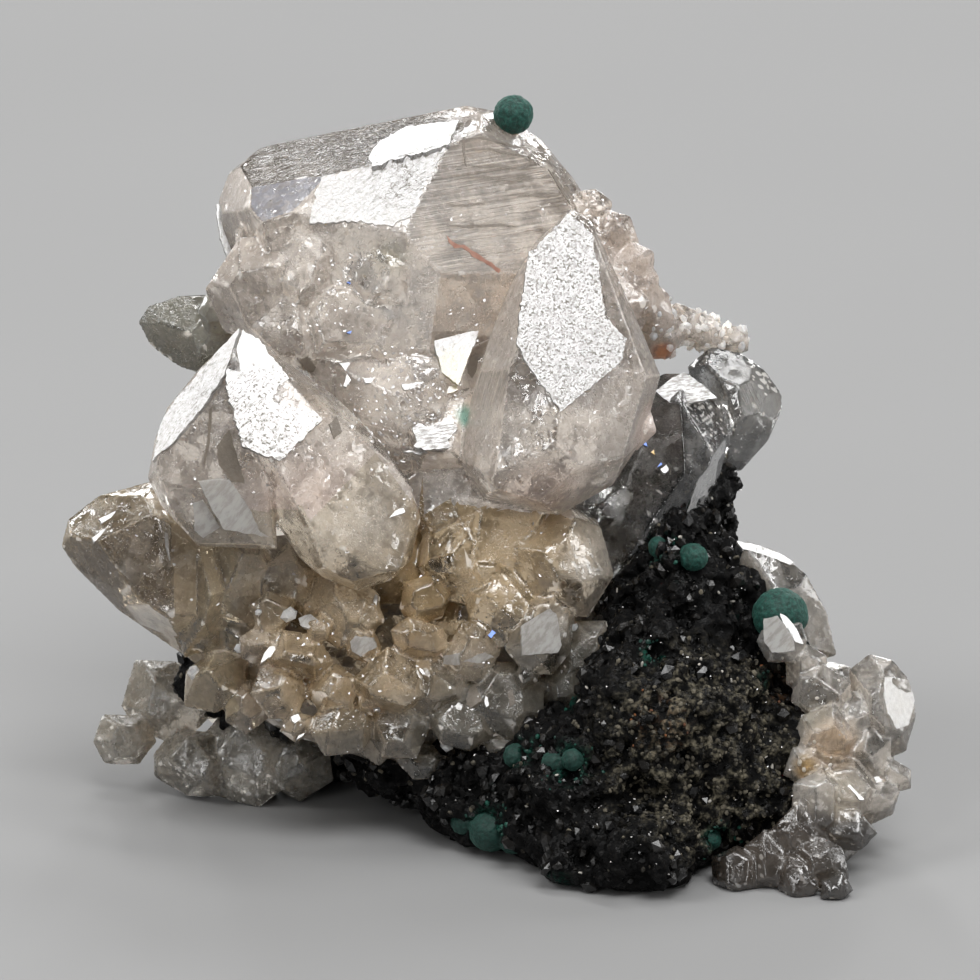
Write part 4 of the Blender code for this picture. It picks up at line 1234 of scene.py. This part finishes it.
def strew(name, host, grain, per_mm2, seed, sizes, weights=None, lean=None, aim=None):
    """Copies of a grain over the host's skin as a new piece. Weights say where, sizes are in mm.
    With a lean, in degrees, the copies lie flat on the skin and tilt at most that much. With an aim too,
    they face that turn and lift and not the way the skin faces."""
    piece = bpy.data.objects.new(name, host.data.copy())
    bpy.context.scene.collection.objects.link(piece)
    piece.vertex_groups.clear()
    if weights is None:
        weights = np.ones(len(piece.data.vertices))
    where = piece.data.attributes.new("where", "FLOAT", "POINT")
    where.data.foreach_set("value", weights.astype(np.float32))
    net = Strewing(name)
    inside = net.add("NodeGroupInput")
    share = net.add("GeometryNodeInputNamedAttribute", {"data_type": "FLOAT"}, {"Name": "where"})
    values = {"Mesh": inside, "Density": share * (per_mm2 * 1e6), "Seed": seed}
    spots = net.add("GeometryNodeDistributePointsOnFaces", {}, values)
    most = math.pi if lean is None else math.radians(lean)
    values = {0: (-most, -most, -math.pi), 1: (most, most, math.pi), "Seed": seed + 1}
    turn = net.add("FunctionNodeRandomValue", {"data_type": "FLOAT_VECTOR"}, values)
    if lean is not None:
        facing = Wire(net, spots.socket.node.outputs["Rotation"])
        if aim:
            angles = heading(*aim).to_track_quat("Z", "Y").to_euler()
            facing = net.add("FunctionNodeEulerToRotation", {}, {"Euler": tuple(angles)})
        values = {"Rotation": facing, "Rotate By": turn}
        turn = net.add("FunctionNodeRotateRotation", {"rotation_space": "LOCAL"}, values)
    values = {2: sizes[0], 3: sizes[1], "Seed": seed + 2}
    size = net.add("FunctionNodeRandomValue", {"data_type": "FLOAT"}, values, 1)
    settings = {"transform_space": "ORIGINAL"}
    shape = net.add("GeometryNodeObjectInfo", settings, {"Object": grain}, "Geometry")
    values = {"Points": spots, "Instance": shape, "Rotation": turn, "Scale": size}
    copies = net.add("GeometryNodeInstanceOnPoints", {}, values)
    solid = net.add("GeometryNodeRealizeInstances", {}, {"Geometry": copies})
    out = net.tree.nodes.new("NodeGroupOutput")
    net.tree.links.new(solid.socket, out.inputs[0])
    modify(piece, "NODES", node_group=net.tree)
    print(name, "triangles:", sum(len(face.vertices) - 2 for face in piece.data.polygons))
    return piece


def grains(finish, slot_name, *strewing, **settings):
    """Strews grains and dresses them."""
    dress(strew(*strewing, **settings), finish, slot_name)


def plain_grain(name, first, second, roughness, spread=0.6, wet=0.0):
    """A finish for grains: two colours that change from grain to grain."""
    recipe = Recipe(name)
    mask = recipe.step(recipe.noise(spread, 2), 0.4, 0.6)
    tooth = recipe.noise(0.05, 2)
    shader = recipe.principled({
        "Base Color": recipe.blend(mask, first, second),
        "Roughness": recipe.step(tooth, 0.3, 0.7, roughness * 0.7, roughness * 1.3),
        "Coat Weight": wet,
        "Normal": recipe.bump(tooth * 0.01),
    })
    return recipe.finish(shader)


# %% [markdown]
# ## Grains on the rock
# The rock carries black, brown, pale, rusty and green grains. Where each kind may sit is a weight for
# every vertex: the black ones lie in clumps and the brown ones mostly in the brown zones. Near the
# floor there are only a few black ones.

# %% Rock grains
grit_shape = chip("grit_shape", 4, (1.0, 0.8, 0.65))
splinter_shape = chip("splinter_shape", 9, (0.5, 0.5, 1.3))
flake_shape = chip("flake_shape", 12, (1.0, 0.8, 0.16), cuts=4)

rock_spots = view_points(rock)
clumps = np.array([noise.noise(Vector(spot) * 0.9) for spot in rock_spots])
clumps = soft_step(clumps, -0.15, 0.30)
above_floor = heights(rock) > 0.45 * MM
brown_part = strongest(rock_spots, [(1, *spot) for spot in BROWN_PLACES])
grit_places = (0.2 + 0.8 * above_floor) * (1 - 0.8 * brown_part) * (0.15 + 0.85 * clumps)
brown_grit_places = above_floor * (0.1 + 0.9 * brown_part)
pale_places = above_floor * soft_step(clumps, 0.5, 0.9)
rusty_places = strongest(rock_spots, [(1, 5.0, 5.2, 0.8, 0.3, 1.4), (1, 8.3, 6.2, 3.4, 0.3, 1.0)])
rusty_places = above_floor * rusty_places
green_rows = [(1, x, h, d, 0.2, reach) for x, h, d, film_reach, reach in GREEN_PLACES]
green_places = above_floor * strongest(rock_spots, green_rows)

dark_grit = plain_grain("black_grit", (0.001, 0.001, 0.0012), (0.010, 0.009, 0.008), 0.20, wet=0.25)
brown_grit = plain_grain("brown_grit", (0.15, 0.132, 0.096), (0.020, 0.017, 0.012), 0.75, spread=0.3)
pale_grit = plain_grain("pale_grit", (0.62, 0.58, 0.52), (0.40, 0.38, 0.34), 0.35)
rusty_grit = plain_grain("rusty_grit", (0.26, 0.09, 0.025), (0.10, 0.04, 0.02), 0.6)
green_grit = plain_grain("green_grit", (0.003, 0.035, 0.025), (0.007, 0.08, 0.055), 0.5)

grains(dark_grit, "gossan", "black_grit", rock, grit_shape, 4.6, 11, (0.04, 0.32), grit_places)
grains(brown_grit, "gossan", "brown_grit", rock, grit_shape, 10.0, 21, (0.03, 0.12), brown_grit_places)
grains(pale_grit, "gossan", "pale_grit", rock, splinter_shape, 0.8, 31, (0.02, 0.10), pale_places)
grains(rusty_grit, "gossan", "rusty_grit", rock, grit_shape, 3.0, 41, (0.03, 0.08), rusty_places)
grains(green_grit, "malachite", "green_grit", rock, grit_shape, 12.0, 51, (0.03, 0.11), green_places)

# %% [markdown]
# ## Buds and frost
# Small buds sit on the low crust, and grains lie like frost on the edge of the main group at the right.

# %% Crystal grains
crust_spots = view_points(crystals)
crust_part = soft_step(-crust_spots[:, 1] - 0.12 * np.abs(crust_spots[:, 0] + 3), -10.6, -9.0)
crust_part = crust_part * (crust_spots[:, 2] < 7)
grains(pale_cerussite, "pale_cerussite", "crust_buds", crystals, grit_shape, 0.10, 61, (0.15, 0.36),
       crust_part)
frost_part = within(crust_spots, 6.2, 16.7, 7.0, 1.4, 2.2)
frost_finish = glassy(
    "frost_grains", (0.97, 0.95, 0.93), (0.90, 0.82, 0.76), (0.7, 0.95), (0.25, 0.5),
    ((0.95, 0.9, 0.85), 60),
    tints=[(5.0, 16.1, 6.3, 0.2, 0.9, 0.9, (0.50, 0.14, 0.04))],
)
grains(frost_finish, "pale_cerussite", "frost_grains", crystals, grit_shape, 9.0, 71, (0.07, 0.19),
       frost_part)

# %% [markdown]
# ## Glints
# Flat chips that sit on the skin and are turned to the key softbox are the specks of light on lumpy and
# etched parts. They lean a little at random, so that they don't all flash at once. A few fine dark
# specks and the pale grains of the right shoulder are strewn here too.

# %% Glints and specks
glint_shape = chip("glint_shape", 15, (1.0, 0.55, 0.06))
hatched = strongest(crust_spots, [
    (1, -2.4, 14.6, 3.2, 0.8, 1.9), (0.5, -5.0, 18.0, 3.4, 0.5, 2.2), (0.35, -4.2, 11.6, 0.9, 0.3, 1.4),
    (0.5, -5.0, 6.6, 3.0, 0.8, 2.2), (0.4, -11.0, 11.2, 3.6, 0.5, 1.6), (0.25, 0.8, 13.0, 0.9, 0.6, 2.0),
])
hatched = np.maximum(hatched, 0.05 * (crust_spots[:, 2] < 6))
hatched = hatched * soft_step(toward(crystals, *FLASH), 0.15, 0.45)
glint = Recipe("glint")
glint_shader = glint.principled({
    "Base Color": glint.blend(glint.noise(0.4, 1), (0.80, 0.75, 0.70), (0.70, 0.68, 0.68)),
    "Roughness": 0.12,
    "IOR": 2.0,
    "Transmission Weight": 0.6,
})
glint_finish = glint.finish(glint_shader)
grains(glint_finish, "pale_cerussite", "skin_glints", crystals, glint_shape, 14.0, 65, (0.02, 0.10),
       hatched, lean=6, aim=FLASH)
silvery = within(crust_spots, -2.6, 14.6, 3.2, 0.9, 2.0) * soft_step(toward(crystals, *FLASH), -0.3, 0.2)
grains(glint_finish, "pale_cerussite", "silvery_chips", crystals, glint_shape, 18.0, 68, (0.03, 0.13),
       silvery, lean=14, aim=FLASH)
rock_front = above_floor * (toward(rock, *FLASH) > 0.1)
grains(glint_finish, "gossan", "rock_glints", rock, glint_shape, 1.2, 66, (0.015, 0.055),
       rock_front, lean=9, aim=FLASH)
specks = strongest(crust_spots, [(1, -4.0, 11.9, 0.9, 0.4, 1.5), (0.4, 3.8, 15.0, 2.0, 0.2, 1.0)])
specks = np.maximum(specks, 0.06 * (crust_spots[:, 2] < 6))
grains(brown_grit, "gossan", "dark_specks", crystals, grit_shape, 5.0, 67, (0.010, 0.035), specks)
shoulder_spots = view_points(shoulder)
granular = soft_step(-shoulder_spots[:, 1], -7.4, -6.6) * (shoulder_spots[:, 0] < 11.0)
granular = granular * soft_step(shoulder_spots[:, 1], 2.2, 3.2)
granular = granular * soft_step(toward(shoulder, *FLASH), 0.1, 0.4)
crumb_finish = plain_grain("crumbs", (0.62, 0.58, 0.53), (0.46, 0.41, 0.34), 0.35)
grains(crumb_finish, "white_cerussite", "shoulder_grains", shoulder, grit_shape, 1.2, 81, (0.04, 0.12),
       granular)
grains(glint_finish, "white_cerussite", "shoulder_glints", shoulder, glint_shape, 1.2, 82, (0.02, 0.07),
       granular, lean=7, aim=FLASH)
grains(glint_finish, "clear_cerussite", "pair_glints", pair, glint_shape, 0.7, 83, (0.015, 0.06),
       toward(pair, *FLASH) > 0.3, lean=7, aim=FLASH)

# %% [markdown]
# ## What is sealed inside
# Crystals this size are never empty. Healed cracks and films of tiny bubbles hang inside them like
# crumpled sheets, and they catch the light from within. Each veil is a grid that is turned, crumpled
# and given a little thickness. Its finish is patchy, so that one sees wisps and not a sheet. Small
# flakes on the veils are the sparks.


# %% Veils
def veil(x, h, d, turn, lift, width, height, crumple, seed):
    """A crumpled sheet inside a crystal, facing turn and lift."""
    bpy.ops.object.select_all(action="DESELECT")
    bpy.ops.mesh.primitive_grid_add(x_subdivisions=36, y_subdivisions=30, size=1)
    sheet = bpy.context.active_object
    sheet.scale = (width * MM, height * MM, MM)
    settle(sheet)
    relief(sheet, None, 0.9 + 0.05 * seed, crumple, depth=3)
    sheet.rotation_mode = "QUATERNION"
    sheet.rotation_quaternion = heading(turn, lift).to_track_quat("Z", "Y")
    sheet.location = place(x, h, d)
    settle(sheet)
    return modify(sheet, "SOLIDIFY", thickness=0.012 * MM, offset=0)


VEILS = [
    (-5.6, 20.1, 5.3, -20, 40, 3.2, 2.0, 0.5), (-2.6, 19.2, 5.0, 10, 10, 4.2, 2.6, 0.7),
    (0.7, 19.6, 5.6, 30, 5, 2.8, 3.0, 0.5), (-1.0, 17.4, 5.0, 0, -20, 3.0, 2.2, 0.7),
    (-4.6, 17.6, 5.2, -15, -5, 3.6, 2.2, 0.8), (2.1, 16.8, 2.7, 30, 10, 2.2, 3.6, 0.5),
    (1.9, 13.5, 2.6, -10, -25, 3.0, 2.2, 0.5), (-8.3, 12.8, 2.6, -20, 0, 2.0, 3.0, 0.4),
    (-5.4, 12.6, 2.8, 15, -5, 2.8, 3.6, 0.5), (-4.3, 10.9, 2.8, 0, -30, 2.4, 1.8, 0.5),
    (-3.4, 7.2, 5.2, 0, 10, 5.0, 2.4, 0.8),
    (0.4, 9.6, 5.0, 10, 0, 3.4, 3.4, 0.9), (-2.6, 14.6, 4.4, 5, 15, 3.2, 2.0, 0.7),
    (-8.4, 5.2, 8.9, -10, 5, 2.4, 1.4, 0.3),
]
veils = join("inner_veils", [veil(*row, seed) for seed, row in enumerate(VEILS)])
film = Recipe("bubble_film")
wisps = film.noise(0.55, 6, 0.7)
shards = film.patch(0.45, (1, 1, 2), axis(0.4, 1, 0.2))
bubbles = film.noise(0.08, 2, 0.5)
film_shader = film.principled({
    "Base Color": (0.95, 0.92, 0.88, 1),
    "Roughness": 0.3,
    "Alpha": film.step(wisps * 0.6 + shards * 0.5 + (bubbles - 0.5) * 0.2, 0.56, 0.62, 0.0, 0.8),
    # Painted light: the veils glow faintly, though they are no lamp.
    "Emission Color": (1.0, 0.94, 0.86, 1),
    "Emission Strength": 0.35,
})
sparks = strew("inner_sparks", veils, flake_shape, 1.6, 91, (0.03, 0.14))
dress(veils, film.finish(film_shader), "pale_cerussite")
silver = Recipe("inner_spark")
silver_shader = silver.principled({
    "Base Color": silver.blend(silver.noise(0.5, 1), (0.95, 0.92, 0.88), (0.85, 0.80, 0.72)),
    "Roughness": 0.12,
    "Metallic": 1.0,
})
dress(sparks, silver.finish(silver_shader), "pale_cerussite")

for shape in (grit_shape, splinter_shape, flake_shape, glint_shape):
    bpy.data.objects.remove(shape)

# %% [markdown]
# ## Malachite balls
# Malachite grows as balls of fine radiating needles, so its skin is dark green velvet. Each ball
# starts as a sphere, gets a lumpy and then a fine relief, and a finish with a soft sheen.

# %% Malachite
BALL_VOXEL = 0.035
BALL_TRIANGLES = 24000

velvet = Recipe("malachite")
tuft = velvet.noise(0.10, 3, 0.6)
fibre = velvet.noise(0.03, 2, 0.6)
velvet_colour = velvet.blend(velvet.step(tuft, 0.30, 0.72), (0.003, 0.028, 0.021), (0.012, 0.095, 0.072))
# Painted shade: the balls low down near the foot are darker, where they lie in shadow.
low_ball_shade = velvet.near(place(1.4, 2.8, 2.6), 2.6, 3.6)
velvet_colour = velvet.blend(low_ball_shade * 0.6, velvet_colour, (0.002, 0.022, 0.016))
velvet_shader = velvet.principled({
    "Base Color": velvet_colour,
    "Roughness": velvet.step(fibre, 0.3, 0.7, 0.45, 0.75),
    "Sheen Weight": 0.2,
    "Sheen Roughness": 0.4,
    "Sheen Tint": (0.35, 0.8, 0.65, 1),
    "Normal": velvet.bump((fibre + tuft) * 0.02),
})
malachite = velvet.finish(velvet_shader)

BALLS = {
    "malachite_ball_crown": [(0.7, 23.1, 6.0, 0.58)],
    "malachite_ball_neck": [(5.95, 10.1, 3.6, 0.42)],
    "malachite_ball_neck_small": [(4.9, 10.4, 3.95, 0.28)],
    "malachite_ball_shelf": [(8.5, 8.4, 3.6, 0.8)],
    "malachite_foot_nodules": [(0.0, 2.1, 3.4, 0.62), (-0.7, 2.4, 3.8, 0.45), (0.7, 1.9, 3.2, 0.5)],
    "malachite_edge_nodules": [(1.85, 4.1, 1.6, 0.36), (2.4, 4.2, 1.3, 0.32)],
    "malachite_crust_nodule": [(0.75, 4.3, 2.7, 0.36)],
    "malachite_base_nodule": [(6.4, 1.9, 2.15, 0.36)],
}
for node, balls in BALLS.items():
    spheres = []
    for x, h, d, radius in balls:
        bpy.ops.object.select_all(action="DESELECT")
        bpy.ops.mesh.primitive_ico_sphere_add(subdivisions=5, radius=radius * MM, location=place(x, h, d))
        spheres.append(settle(bpy.context.active_object))
    ball = join(node.replace("malachite", "green"), spheres)
    skin(ball, BALL_VOXEL)
    relief(ball, None, 0.4, 0.13)
    relief(ball, None, 0.09, 0.045)
    thin_out(ball, BALL_TRIANGLES)
    dress(ball, malachite, "malachite", node)

# %% [markdown]
# ## The floor
# A plain pale floor. It isn't part of the specimen.

# %% Floor
bpy.ops.mesh.primitive_plane_add(size=4, location=(0, 0, -0.00002))
floor = bpy.context.active_object
floor.name = "floor"
floor_finish = Recipe("pale_floor")
floor_tone = floor_finish.noise(30, 2)
floor_colour = floor_finish.blend(floor_tone, (0.28, 0.28, 0.28), (0.31, 0.31, 0.31))
floor_shader = floor_finish.principled({"Base Color": floor_colour, "Roughness": 0.8})
floor.data.materials.append(floor_finish.finish(floor_shader))
